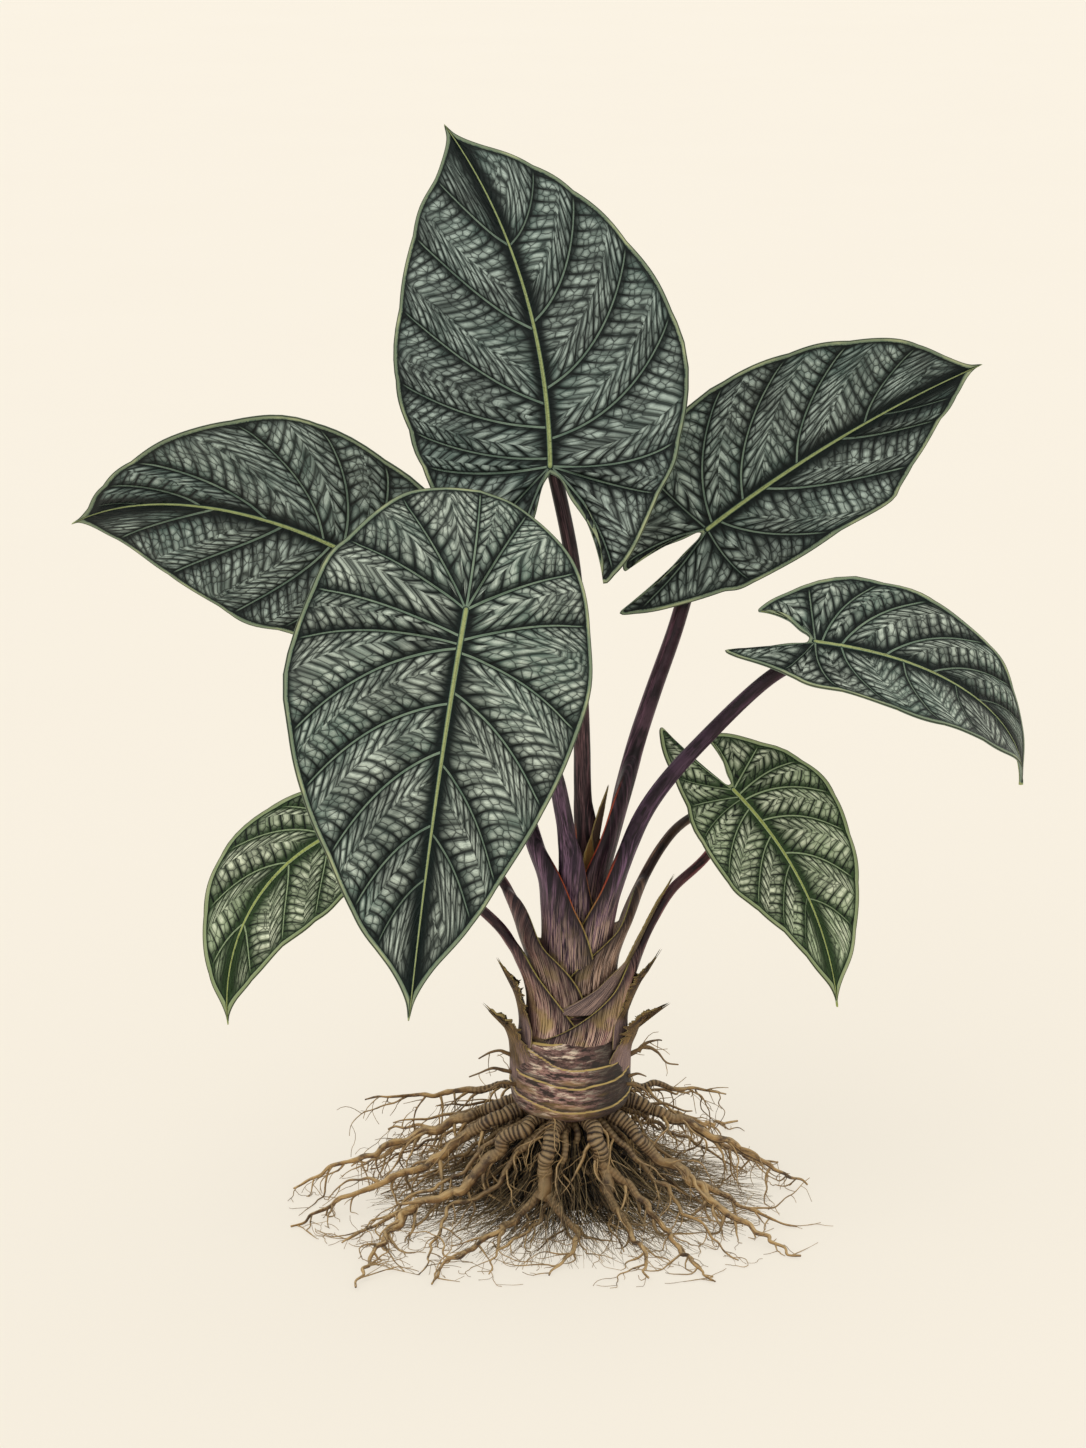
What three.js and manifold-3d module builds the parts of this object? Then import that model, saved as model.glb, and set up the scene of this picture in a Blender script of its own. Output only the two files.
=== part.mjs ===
// Bare-rooted alocasia chaii: nine waved blades on sheathed stalks, nested over a short stem with its roots.
// Millimetres, +Z up, seen from -Y. Origin: on the stem's axis, in the surface that the roots stand on.
import * as THREE from "three";
import Module from "manifold-3d";

const wasm = await Module();
wasm.setup();

// Gap left between two pieces that touch, and the smallest detail kept where pieces are cut
const GAP = 0.35;
const SLIVER = 0.02;
const COARSE_SLIVER = 0.05;

// Blades
const BLADE_THICKNESS = 0.9;
const BLADE_ROWS = 16;
const COLUMN_SHARE = [0, 0.1, 0.4, 0.75, 1];
const QUILT_RISE = 0.9;
const MARGIN_WAVE = 1.3;
const RIB_DEPTH = 3.0;
const JOINT_SHARE = { open: 0.5, closed: 0.4 };
const VEIN_SPACING = 1.9;
const VIEW_TILT = 16;

// Stem: radius and height up its outside, narrowing to a cone inside the sheaths
const STEM_PROFILE = [
  [12, 40.5], [19, 43], [24, 47], [25.6, 52], [25.7, 57], [25.6, 62], [25.2, 68], [24.6, 73], [23.6, 77],
  [21.4, 80], [19.4, 84], [17.6, 90], [15.8, 96], [12, 107], [8, 115], [4.4, 123], [2, 126],
];
const STEM_SIDES = 24;

// Leaf stalks: the sheath hugs what lies inside it, then rolls up into the round stalk
const SHEATH_HALF_THICKNESS = 0.72;
const SHEATH_FOOT = 2;
const BUNDLE_SHIFT = 2.7;
const BUNDLE_SPREAD = 0.06;
const BUNDLE_MOST = 2;
const FAR_WING_END = 1.9;
const CURL_PER_STALK = 1.6;
const RING_SEGMENTS = 8;
const STALK_STATIONS = 15;
const SCALE_STATIONS = 6;
const STALK_END = [4, -3.2];
const ROOM_SIZE = [30, 40, 40];
const ROOM_BACK = 15;

// Roots
const ROOT_SIDES = 6;
const MAT_PROFILE = [[27, 0], [26, 8], [22, 20], [18, 32], [14, 40.5 - GAP]];
const MAT_SIDES = 16;
const FINE_ROOTS = 15;
const SEED = 7;

// Leaves, innermost first: the blade's joint with its stalk, heading and roll in degrees, sizes in mm.
// Pairs give the left and the right half, seen from above with the tip ahead.
const LEAVES = [
  {
    name: "top", joint: [-9, 8, 330], azimuth: 91, elevation: 62, roll: -4,
    length: 171, halfWidth: [62, 61], lobe: [75, 51], lobeX: [17, 22], back: 3, bend: 12,
    sweep: -32, droop: 10, fold: [2, 3], widest: [0.25, 0.22], fullness: [2, 1.7],
    side: 90, hug: 9.5, base: 122, wrap: 80, sheath: 62, taper: 1.2, radius: [4, 3.1],
    stalk: [[7, 9, 140], [6, 6, 164], [5.1, 7, 191], [4.9, 8, 207], [4, 8, 232], [1, 8, 285]],
  },
  {
    name: "upper_right", joint: [59, 34, 297], azimuth: 19, elevation: 34, roll: 15,
    length: 153, halfWidth: [50, 35], lobe: [40, 52], lobeX: [8, 6], back: 3, bend: 19,
    sweep: 18, droop: 2, fold: [6, 9], widest: [0.18, 0.47], fullness: [2, 1.4],
    side: 20, hug: 11, base: 118, wrap: 125, sheath: 88, taper: 2, radius: [4.2, 3.3],
    stalk: [[13.5, 4.5, 135], [15, 6, 148], [18, 8, 164], [22, 10, 183.5], [28.4, 15, 206],
      [36, 20, 228.5], [45, 29, 252], [54, 38, 279]],
  },
  {
    name: "front", joint: [-43, -78, 289], azimuth: 256, elevation: -51, roll: -13,
    length: 171, halfWidth: [57, 67], closed: [0.5, 1.4], back: 62, bend: 5,
    sweep: -5, droop: 26, fold: [-4, -5], widest: [0.11, 0.22], fullness: [1.7, 1.7],
    side: 250, hug: 12.5, base: 114, wrap: 68, sheath: 62, taper: 1.2, radius: [4, 3],
    stalk: [[-1.6, -11.8, 130], [-1.6, -13, 149], [-1.2, -15, 168], [-3.9, -24, 189], [-8, -36, 210],
      [-20, -57, 250]],
  },
  {
    name: "right", joint: [103, -14, 259], azimuth: 356, elevation: -7, roll: -42,
    length: 137, halfWidth: [37, 36], lobe: [25, 37], lobeX: [14, 8], back: 3, bend: 84,
    sweep: -3, droop: 14, fold: [10, 12], widest: [0.13, 0.32], fullness: [2.3, 1.6],
    side: 340, hug: 14, base: 110, wrap: 115, sheath: 66, taper: 0.8, radius: [4, 3],
    stalk: [[16.5, -5.2, 120], [18, -6, 132], [20, -7, 145], [25.5, -9, 168], [35.6, -10, 189],
      [53.7, -11, 212], [84, -13, 243]],
  },
  {
    name: "left", joint: [-78, -12, 288], azimuth: 163, elevation: 28, roll: -33,
    length: 179, halfWidth: [48, 54], lobe: [57, 56], lobeX: [18, 17], back: 3, bend: 22,
    sweep: -60, droop: 12, fold: [5, 5], widest: [0.37, 0.22], fullness: [1.6, 1.3],
    side: 190, hug: 15.6, base: 105, wrap: 110, sheath: 68, taper: 1.5, radius: [4, 2.8],
    stalk: [[-11.8, -3.5, 125], [-11.5, -5, 138], [-11.5, -7, 152], [-15.7, -8, 168], [-25, -7, 197],
      [-40, -7, 232], [-60, -8, 266]],
  },
  {
    name: "rear_right", joint: [68, 62, 168], azimuth: 45, elevation: -28, roll: -90,
    length: 85, halfWidth: [31, 30], lobe: [26, 27], lobeX: [9, 9], back: 3, bend: 30,
    sweep: 0, droop: 8, fold: [5, 5], widest: [0.25, 0.25], fullness: [1.7, 1.7],
    side: 25, hug: 17, base: 103, wrap: 140, sheath: 48, taper: 1.3, radius: [2.4, 2],
    stalk: [[18.8, 8, 112], [22, 10, 123], [27.4, 14, 135], [42.3, 29, 157.5], [51, 38, 165]],
  },
  {
    name: "rear_left", joint: [-62, 30, 175], azimuth: 120, elevation: -20, roll: 90,
    length: 95, halfWidth: [34, 34], lobe: [28, 29], lobeX: [10, 10], back: 3, bend: 35,
    sweep: 0, droop: 8, fold: [5, 5], widest: [0.25, 0.25], fullness: [1.7, 1.7],
    side: 155, hug: 18.5, base: 94, wrap: 130, sheath: 52, taper: 2, radius: [2.4, 2],
    stalk: [[-15.5, 7.5, 104], [-17.8, 7.8, 117], [-21.6, 9, 129], [-26, 11, 137.5], [-31, 14, 145],
      [-46, 20, 163]],
  },
  {
    name: "lower_left", olive: true, joint: [-97, -20, 178], azimuth: 195, elevation: -18, roll: 31,
    length: 104, halfWidth: [31, 27], lobe: [33, 33], lobeX: [11, 11], back: 3, bend: 38,
    sweep: -70, droop: 12, fold: [5, 2], widest: [0.28, 0.31], fullness: [1.6, 1.5],
    side: 197, hug: 20, base: 80, wrap: 105, sheath: 50, taper: 0.8, radius: [2.4, 2],
    stalk: [[-17.8, -5.5, 93], [-19, -6, 103], [-21.8, -6.5, 112], [-25.3, -7.5, 121], [-34.2, -10, 134],
      [-60, -14, 158], [-80, -17, 170]],
  },
  {
    name: "lower_right", olive: true, joint: [71, 14, 185], azimuth: 334, elevation: -40, roll: -29,
    length: 107, halfWidth: [36, 34], lobe: [26, 41], lobeX: [9, 5], back: 3, bend: 32,
    sweep: 28, droop: -1, fold: [7, 8], widest: [0.2, 0.31], fullness: [1.6, 1.3],
    side: 358, hug: 21.5, base: 79, wrap: 156, sheath: 43, taper: 0.7, radius: [2.4, 2],
    stalk: [[23.6, -0.5, 84], [25, 0, 93], [27.7, 1, 107], [31.3, 2, 119], [37, 4, 130.5], [45, 8, 142],
      [60, 14, 155]],
  },
];

// Narrow bracts between the stalks and torn old sheaths on the stem: face direction, points up the middle,
// and the half width and the radius it is rolled to at each point
const SCALES = [
  {
    name: "bract_centre", side: 290, thick: 0.5,
    path: [[8.5, -2, 145], [10.3, 0, 165], [13.3, 3, 179], [16.5, 5, 190.5]],
    widths: [3, 2.4, 1.6, 0.3], rolls: [9, 9, 8, 8],
  },
  {
    name: "bract_front", side: 275, thick: 0.5,
    path: [[6.8, -5, 142], [7.2, -5, 152], [8, -4, 162], [9.2, -3, 171.5]],
    widths: [3, 2.6, 2.2, 0.3], rolls: [9, 9, 8, 8],
  },
  {
    name: "bract_right", side: 335, thick: 0.6,
    path: [[21, -8, 93], [22.3, -7, 104], [26, -4, 113], [31, -2, 124], [38, 0, 138], [45.5, 2, 151]],
    widths: [34, 15, 4.4, 2.7, 2.2, 0.3], rolls: [20.5, 20.5, 18, 14, 10, 8],
  },
  {
    name: "old_sheath_left_high", side: 185, thick: 0.7,
    path: [[-23, -3, 74], [-22, -3, 84], [-23.4, -3, 94], [-26.2, -3.5, 102], [-29.2, -4, 108],
      [-32.7, -4, 115]],
    widths: [15, 14, 10.5, 7, 4.2, 0.5], rolls: [24, 23, 20, 12, 7, 5],
  },
  {
    name: "old_sheath_left_low", side: 200, thick: 0.7,
    path: [[-24.6, -7, 60], [-24.9, -7, 71], [-26.3, -7, 78], [-29.2, -7, 83.6], [-33, -7.5, 88],
      [-38.5, -8, 94.5]],
    widths: [15, 14, 11, 7.5, 4.2, 0.5], rolls: [25, 25, 21, 12, 7, 5],
  },
  {
    name: "old_sheath_right_high", side: 352, thick: 0.7,
    path: [[24.6, -2, 75], [24.6, -2, 86], [26.2, -2, 92], [30, -2, 101], [34.6, -3, 109],
      [40.4, -4, 119.5]],
    widths: [15, 14, 11, 7, 4.2, 0.5], rolls: [24, 24, 20, 12, 7, 5],
  },
  {
    name: "old_sheath_right_low", side: 340, thick: 0.7,
    path: [[24.6, -7, 60], [25.1, -7, 71], [27.6, -7, 78], [30.4, -7, 84], [35.4, -7.5, 89.5],
      [43.6, -8, 94.5]],
    widths: [15, 14, 11, 7.5, 4.2, 0.5], rolls: [25, 25, 21, 12, 7, 5],
  },
];

// Main roots: path from inside the stem to the ground, first and last radius, and forks
const ROOTS = [
  {
    path: [[-10, -11, 45], [-23, -22, 39], [-37, -22, 25], [-48, -29, 15], [-67, -32, 10],
      [-77, -50, 6], [-85, -73, 3], [-91, -97, -1]],
    radius: [4.4, 1.5], forks: [{ path: [[-66, -32, 10], [-83, -40, 5],
      [-98, -52, -1]], radius: [1.8, 0.9] }],
  },
  {
    path: [[-4, -15, 45], [-9, -30, 38], [-11, -32, 24], [-12, -34, 13]],
    radius: [4.4, 3.0], forks: [
      { path: [[-11, -32, 17], [-22, -41, 9], [-36, -58, 5], [-53, -76, 2],
        [-59, -94, -1]], radius: [2.8, 1.3] },
      { path: [[-12, -33, 16], [-3, -42, 8], [3, -56, 4], [-2, -72, 2],
        [-10, -86, -1]], radius: [2.8, 1.3] },
    ],
  },
  {
    path: [[6, -15, 45], [12, -29, 39], [13, -27, 28], [16, -32, 15]],
    radius: [4.4, 3.0], forks: [
      { path: [[15, -30, 18], [19, -37, 10], [26, -50, 5], [32, -70, 3],
        [31, -88, -1]], radius: [2.8, 1.3] },
      { path: [[13, -28, 27], [25, -31, 18], [34, -38, 11], [41, -54, 6], [50, -74, 3],
        [60, -91, -1]], radius: [2.6, 1.3] },
    ],
  },
  {
    path: [[14, -8, 45], [27, -15, 38], [39, -19, 26], [55, -22, 16], [65, -34, 10], [77, -44, 6],
      [87, -57, 3], [98, -68, -1]],
    radius: [4.4, 1.5], forks: [{ path: [[55, -22, 16], [70, -24, 9], [88, -34, 3],
      [98, -36, -1]], radius: [1.9, 0.9] }],
  },
  {
    path: [[16, 1, 46], [31, 2, 43], [46, 1, 37], [63, 0, 28], [78, 1, 21], [92, 1, 12], [108, 8, -1]],
    radius: [4.4, 1.4], forks: [{ path: [[62, 0, 28], [74, 12, 16], [88, 24, 5],
      [96, 34, -1]], radius: [1.9, 0.9] }],
  },
  {
    path: [[-16, -4, 46], [-30, -9, 42], [-48, -9, 31], [-62, -12, 21], [-84, -14, 12],
      [-108, -25, 4], [-122, -35, -1]],
    radius: [4.4, 1.4], forks: [],
  },
  {
    path: [[-16, 3, 46], [-31, 4, 42], [-51, 3, 34], [-68, 4, 27], [-86, 2, 20], [-108, 1, 11],
      [-123, 4, -1]],
    radius: [4.2, 1.4], forks: [{ path: [[-68, 4, 27], [-80, 16, 15], [-92, 26, 5],
      [-99, 31, -1]], radius: [1.9, 0.9] }],
  },
  { path: [[-15, 10, 47], [-30, 20, 45], [-50, 24, 40], [-74, 28, 36],
    [-92, 32, 33]], radius: [3.2, 0.9], forks: [] },
  { path: [[14, 9, 47], [29, 17, 46], [46, 20, 44], [60, 24, 40],
    [70, 28, 37]], radius: [3.2, 0.9], forks: [] },
  {
    path: [[12, 11, 45], [24, 24, 36], [40, 38, 24], [56, 52, 14], [68, 68, 6], [78, 82, -1]],
    radius: [4.2, 1.4], forks: [],
  },
  {
    path: [[5, 15, 45], [9, 31, 38], [14, 46, 24], [24, 66, 12], [30, 88, 4], [28, 104, -1]],
    radius: [4.2, 1.4], forks: [{ path: [[14, 46, 24], [6, 60, 12], [2, 78, 4],
      [6, 94, -1]], radius: [2.0, 1.0] }],
  },
  {
    path: [[-5, 15, 45], [-11, 30, 37], [-20, 46, 23], [-26, 66, 11], [-38, 84, 4], [-44, 98, -1]],
    radius: [4.2, 1.4], forks: [],
  },
  {
    path: [[-12, 12, 45], [-24, 25, 36], [-38, 38, 23], [-58, 50, 13], [-72, 66, 5], [-84, 74, -1]],
    radius: [4.2, 1.4], forks: [],
  },
];

const BLADE_GREEN = 0x3f5248;
const BLADE_OLIVE = 0x57624a;
const STALK_PURPLE = 0x3a2a35;
const STALK_BROWN = 0x5a4437;
const STEM_BROWN = 0x5b4540;
const SCALE_BROWN = 0x7a6543;
const ROOT_BROWN = 0x8a6a48;
const MAT_BROWN = 0x3d3026;

const group = new THREE.Group();
const vector = (p) => new THREE.Vector3(p[0], p[1], p[2]);
const degrees = THREE.MathUtils.degToRad;
const smooth = (x, low, high) => THREE.MathUtils.smoothstep(x, low, high);

// Repeatable random numbers from 0 to 1
function drawsFrom(seed) {
  let state = seed;
  return () => {
    state = (state * 1664525 + 1013904223) % 4294967296;
    return state / 4294967296;
  };
}

// Smooth curve through listed points, q from 0 to points.length - 1
function through(points, q) {
  const last = points.length - 1;
  const i = Math.min(Math.floor(Math.max(q, 0)), last - 1);
  const f = Math.min(Math.max(q - i, 0), 1);
  const [p1, p2] = [points[i], points[i + 1]];
  const p0 = i > 0 ? points[i - 1] : p1.map((v, k) => 2 * v - p2[k]);
  const p3 = i + 2 <= last ? points[i + 2] : p2.map((v, k) => 2 * v - p1[k]);
  return p1.map((v, k) => {
    const linear = p2[k] - p0[k];
    const square = 2 * p0[k] - 5 * v + 4 * p2[k] - p3[k];
    const cubic = 3 * v - p0[k] - 3 * p2[k] + p3[k];
    return 0.5 * (2 * v + linear * f + square * f * f + cubic * f * f * f);
  });
}

// Points along a smooth curve, evenly spaced or closer together at its start where ease is over 1
function spaced(points, count, ease = 1) {
  const fine = [];
  const steps = 24 * (points.length - 1);
  for (let k = 0; k <= steps; k++) fine.push(through(points, (k * (points.length - 1)) / steps));
  const reach = [0];
  for (let k = 1; k <= steps; k++) {
    reach.push(reach[k - 1] + Math.hypot(...fine[k].map((v, c) => v - fine[k - 1][c])));
  }
  const out = [];
  for (let n = 0, k = 1; n < count; n++) {
    const goal = reach[steps] * Math.pow(n / (count - 1), ease);
    while (k < steps && reach[k] < goal) k++;
    const f = (goal - reach[k - 1]) / (reach[k] - reach[k - 1]);
    out.push(fine[k - 1].map((v, c) => v + (fine[k][c] - v) * f));
  }
  return { points: out, length: reach[steps] };
}

// Closed surface built face by face, with equal points shared
class Shell {
  constructor() {
    this.points = [];
    this.faces = [];
    this.known = new Map();
  }

  point(p) {
    const key = p.map((v) => Math.round(v * 1e4)).join(",");
    if (!this.known.has(key)) {
      this.known.set(key, this.points.length);
      this.points.push(p);
    }
    return this.known.get(key);
  }

  face(a, b, c) {
    if (a !== b && b !== c && c !== a) this.faces.push([a, b, c]);
  }

  quad(a, b, c, d) {
    this.face(a, b, c);
    this.face(a, c, d);
  }

  solid() {
    const mesh = new wasm.Mesh({
      numProp: 3,
      vertProperties: new Float32Array(this.points.flat()),
      triVerts: new Uint32Array(this.faces.flat()),
    });
    return new wasm.Manifold(mesh);
  }
}

// Rings of equal count joined into a solid, closed at both ends
function loft(rings, ladder) {
  const shell = new Shell();
  const rows = rings.map((ring) => ring.map((p) => shell.point(p)));
  const n = rows[0].length;
  for (let i = 0; i + 1 < rows.length; i++) {
    for (let k = 0; k < n; k++) {
      const next = (k + 1) % n;
      shell.quad(rows[i][k], rows[i][next], rows[i + 1][next], rows[i + 1][k]);
    }
  }
  const ends = [rows[0].slice().reverse(), rows[rows.length - 1]];
  ends.forEach((ring, end) => {
    const turned = ladder && end === 0 ? ring.slice(-1).concat(ring.slice(0, -1)) : ring;
    for (let k = 0; ladder && k < n / 2; k++) {
      const [a, b] = [turned[k], turned[(k + 1) % n]];
      const [c, d] = [turned[(n - k - 1) % n], turned[(n - k) % n]];
      if (k < n / 2 - 1) shell.quad(a, b, c, d);
      else shell.face(a, b, d);
    }
    for (let k = 1; !ladder && k + 1 < n; k++) shell.face(turned[0], turned[k], turned[k + 1]);
  });
  return shell.solid();
}

// Outline of half a blade, from behind the joint round to the tip, as across and ahead in mm
function marginKeys(leaf, half) {
  const w = leaf.halfWidth[half];
  const back = leaf.back;
  let keys;
  if (leaf.closed) {
    const slim = leaf.closed[half];
    keys = [
      [0, -back], [(0.27 - 0.02 * slim) * w, -(0.985 - 0.02 * slim) * back],
      [(0.52 - 0.05 * slim) * w, -(0.9 - 0.05 * slim) * back],
      [(0.73 - 0.08 * slim) * w, -(0.72 - 0.07 * slim) * back],
      [(0.88 - 0.08 * slim) * w, -(0.44 - 0.05 * slim) * back], [(0.965 - 0.05 * slim) * w, -0.1 * back],
    ];
  } else {
    const [x, y] = [leaf.lobeX[half], leaf.lobe[half]];
    keys = [
      [0, -back], [0.2 * x, -0.12 * y], [0.38 * x, -0.28 * y], [0.63 * x, -0.44 * y],
      [0.88 * x, -0.62 * y],
      [1.02 * x, -0.82 * y], [x, -y], [x + 0.14 * (w - x), -0.91 * y], [x + 0.29 * (w - x), -0.75 * y],
      [x + 0.46 * (w - x), -0.5 * y], [x + 0.65 * (w - x), -0.22 * y], [0.9 * w, 0.04 * leaf.length],
    ];
  }
  const [start, full] = [leaf.widest[half], leaf.fullness[half]];
  for (const t of [0, 0.2, 0.4, 0.58, 0.74, 0.86, 0.94, 1]) {
    const round = Math.pow(1 - Math.pow(t, full), 1 + 0.5 * (2 - full));
    const drawnIn = 1 - 0.55 * smooth(t, 0.78, 0.95);
    keys.push([w * round * drawnIn, leaf.length * (start + t * (1 - start))]);
  }
  return keys;
}

// Path of a side vein from the midrib to the margin; rows up to spread start at the joint
function veinPoint(leaf, edge, row, share) {
  const spread = leaf.closed ? JOINT_SHARE.closed : JOINT_SHARE.open;
  const sigma = row / BLADE_ROWS;
  const start = leaf.length * Math.pow(Math.max(0, (sigma - spread) / (1 - spread)), VEIN_SPACING);
  const lobed = leaf.closed ? 0 : 1 - smooth(sigma, 0.1, spread);
  const [bx, by] = edge;
  const [cx, cy] = [(0.6 + 0.32 * lobed) * bx, start + 0.38 * (by - start)];
  const t = share;
  return [2 * t * (1 - t) * cx + t * t * bx, (1 - t) * (1 - t) * start + 2 * t * (1 - t) * cy + t * t * by];
}

// Bent midrib with its frame, found step by step from the joint
function midrib(leaf) {
  const toViewer = new THREE.Vector3(0, -Math.cos(degrees(VIEW_TILT)), Math.sin(degrees(VIEW_TILT)));
  const [az, el, roll] = [degrees(leaf.azimuth), degrees(leaf.elevation), degrees(leaf.roll)];
  const ahead = new THREE.Vector3(Math.cos(el) * Math.cos(az), Math.cos(el) * Math.sin(az), Math.sin(el));
  const face = toViewer.clone().addScaledVector(ahead, -toViewer.dot(ahead)).normalize();
  const side = new THREE.Vector3().crossVectors(ahead, face);
  const up = face.clone().multiplyScalar(Math.cos(roll)).addScaledVector(side, Math.sin(roll));
  const across = new THREE.Vector3().crossVectors(ahead, up);
  const world = (b, t, n) => {
    return new THREE.Vector3().addScaledVector(across, b).addScaledVector(ahead, t).addScaledVector(up, n);
  };
  const reach = leaf.closed ? leaf.back : (leaf.lobe[0] + leaf.lobe[1]) / 2;
  const frameAt = (y) => {
    const a = y > 0 ? y / leaf.length : y / reach;
    const pitch = y > 0 ? degrees(leaf.bend) * Math.pow(a, 1.3) : degrees(leaf.droop) * a;
    const yaw = y > 0 ? degrees(leaf.sweep) * a : 0;
    const t = world(Math.sin(yaw) * Math.cos(pitch), Math.cos(yaw) * Math.cos(pitch), -Math.sin(pitch));
    const b = world(Math.cos(yaw), -Math.sin(yaw), 0);
    return { t, b, n: new THREE.Vector3().crossVectors(b, t) };
  };
  const pointAt = (y) => {
    const steps = 40;
    const p = vector(leaf.joint);
    for (let k = 0; k < steps; k++) p.addScaledVector(frameAt((y * (k + 0.5)) / steps).t, y / steps);
    return p;
  };
  return { frameAt, pointAt };
}

// Point of the blade: folded along the midrib, raised between the veins, waved along the margin
function bladePoint(leaf, rib, half, flat, row, share, below) {
  const [x, y] = flat;
  const sign = half === 0 ? -1 : 1;
  const fold = degrees(leaf.fold[half]);
  const { b, n } = rib.frameAt(y);
  const fade = smooth(share, 0.05, 0.3) * (1 - smooth(share, 0.8, 1));
  const size = leaf.length / 171;
  const quilt = QUILT_RISE * size * fade * (row % 2 === 0 ? -1 : 1);
  const wave = MARGIN_WAVE * size * Math.pow(share, 3) * Math.sin(row * 1.9 + 2.3 * half + leaf.length);
  const ends = smooth(row, 0, 2) * (1 - smooth(row, BLADE_ROWS - 3, BLADE_ROWS));
  const lift = x * Math.sin(fold) + (quilt + wave) * ends - below;
  return rib.pointAt(y).addScaledVector(b, sign * x * Math.cos(fold)).addScaledVector(n, lift).toArray();
}

// Whole blade as a closed solid; both faces share one pattern of triangles
function blade(leaf) {
  const shell = new Shell();
  const rib = midrib(leaf);
  const edgeRows = [0, 1].map((half) => spaced(marginKeys(leaf, half), BLADE_ROWS + 1).points);
  const pointOf = (underside, half, edge, row, share) => {
    const tip = row === BLADE_ROWS;
    const flat = tip ? [0, leaf.length] : veinPoint(leaf, edge, row, share);
    const keel = share === 0 ? RIB_DEPTH * (1 - 0.85 * smooth(flat[1] / leaf.length, 0, 1)) : 0;
    const below = underside ? BLADE_THICKNESS + keel : 0;
    return shell.point(bladePoint(leaf, rib, half, flat, row, tip ? 0 : share, below));
  };
  const faces = [0, 1].map((underside) => [0, 1].map((half) => edgeRows[half].map((edge, row) => (
    COLUMN_SHARE.map((share) => pointOf(underside, half, edge, row, share))
  ))));
  const last = COLUMN_SHARE.length - 1;
  for (let half = 0; half < 2; half++) {
    const flipped = half === 0;
    const put = (turn, a, b, c, d) => (turn ? shell.quad(a, d, c, b) : shell.quad(a, b, c, d));
    for (let row = 0; row < BLADE_ROWS; row++) {
      for (let k = 0; k < last; k++) {
        const corners = (under) => {
          const f = faces[under][half];
          return [f[row][k], f[row][k + 1], f[row + 1][k + 1], f[row + 1][k]];
        };
        put(flipped, ...corners(0));
        const [a, b, c, d] = corners(1);
        const split = flipped ? [a, b, c, d] : [a, d, c, b];
        shell.quad(...split);
      }
      const [upper, lower] = [faces[0][half], faces[1][half]];
      put(flipped, upper[row][last], lower[row][last], lower[row + 1][last], upper[row + 1][last]);
    }
  }
  return shell.solid();
}

// Ring of a sheath or stalk: an oval bent round what it hugs, with its two half widths and half thickness b
function bentRing(centre, outward, sideways, wings, b, curve, round) {
  const ring = [];
  const power = 2 + 3 * (1 - round);
  for (let turn = 0; turn < 2; turn++) {
    for (let k = 0; k < RING_SEGMENTS; k++) {
      const even = 1 - (2 * k) / RING_SEGMENTS;
      const circular = Math.cos((Math.PI * k) / RING_SEGMENTS);
      const along = (turn === 0 ? 1 : -1) * (even + (circular - even) * round);
      const v = (turn === 0 ? 1 : -1) * b * Math.sqrt(Math.max(0, 1 - Math.pow(Math.abs(along), power)));
      const u = along * wings[along > 0 ? 0 : 1];
      const bent = curve > 1e-4;
      const across = bent ? (1 / curve + v) * Math.sin(u * curve) : u;
      const out = bent ? (1 / curve + v) * Math.cos(u * curve) - 1 / curve : v;
      ring.push(centre.clone().addScaledVector(sideways, across).addScaledVector(outward, out).toArray());
    }
  }
  return ring;
}

// Bent rings set along a path and joined; shape gives widths, thickness, curve and levelling along the way
function sweptStrip(path, sideDegrees, shape, stations, ease) {
  const reference = new THREE.Vector3(Math.cos(degrees(sideDegrees)), Math.sin(degrees(sideDegrees)), 0);
  const { points, length } = spaced(path, stations, ease);
  const rings = points.map((p, i) => {
    const s = shape(length * Math.pow(i / (stations - 1), ease), length);
    const before = vector(points[Math.max(i - 1, 0)]);
    const along = vector(points[Math.min(i + 1, points.length - 1)]).sub(before).normalize();
    along.lerp(new THREE.Vector3(0, 0, 1), s.level).normalize();
    const outward = reference.clone().addScaledVector(along, -reference.dot(along)).normalize();
    const sideways = new THREE.Vector3().crossVectors(outward, along);
    return bentRing(vector(p), outward, sideways, s.wings, s.b, s.curve, s.round);
  });
  return loft(rings, true);
}

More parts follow.
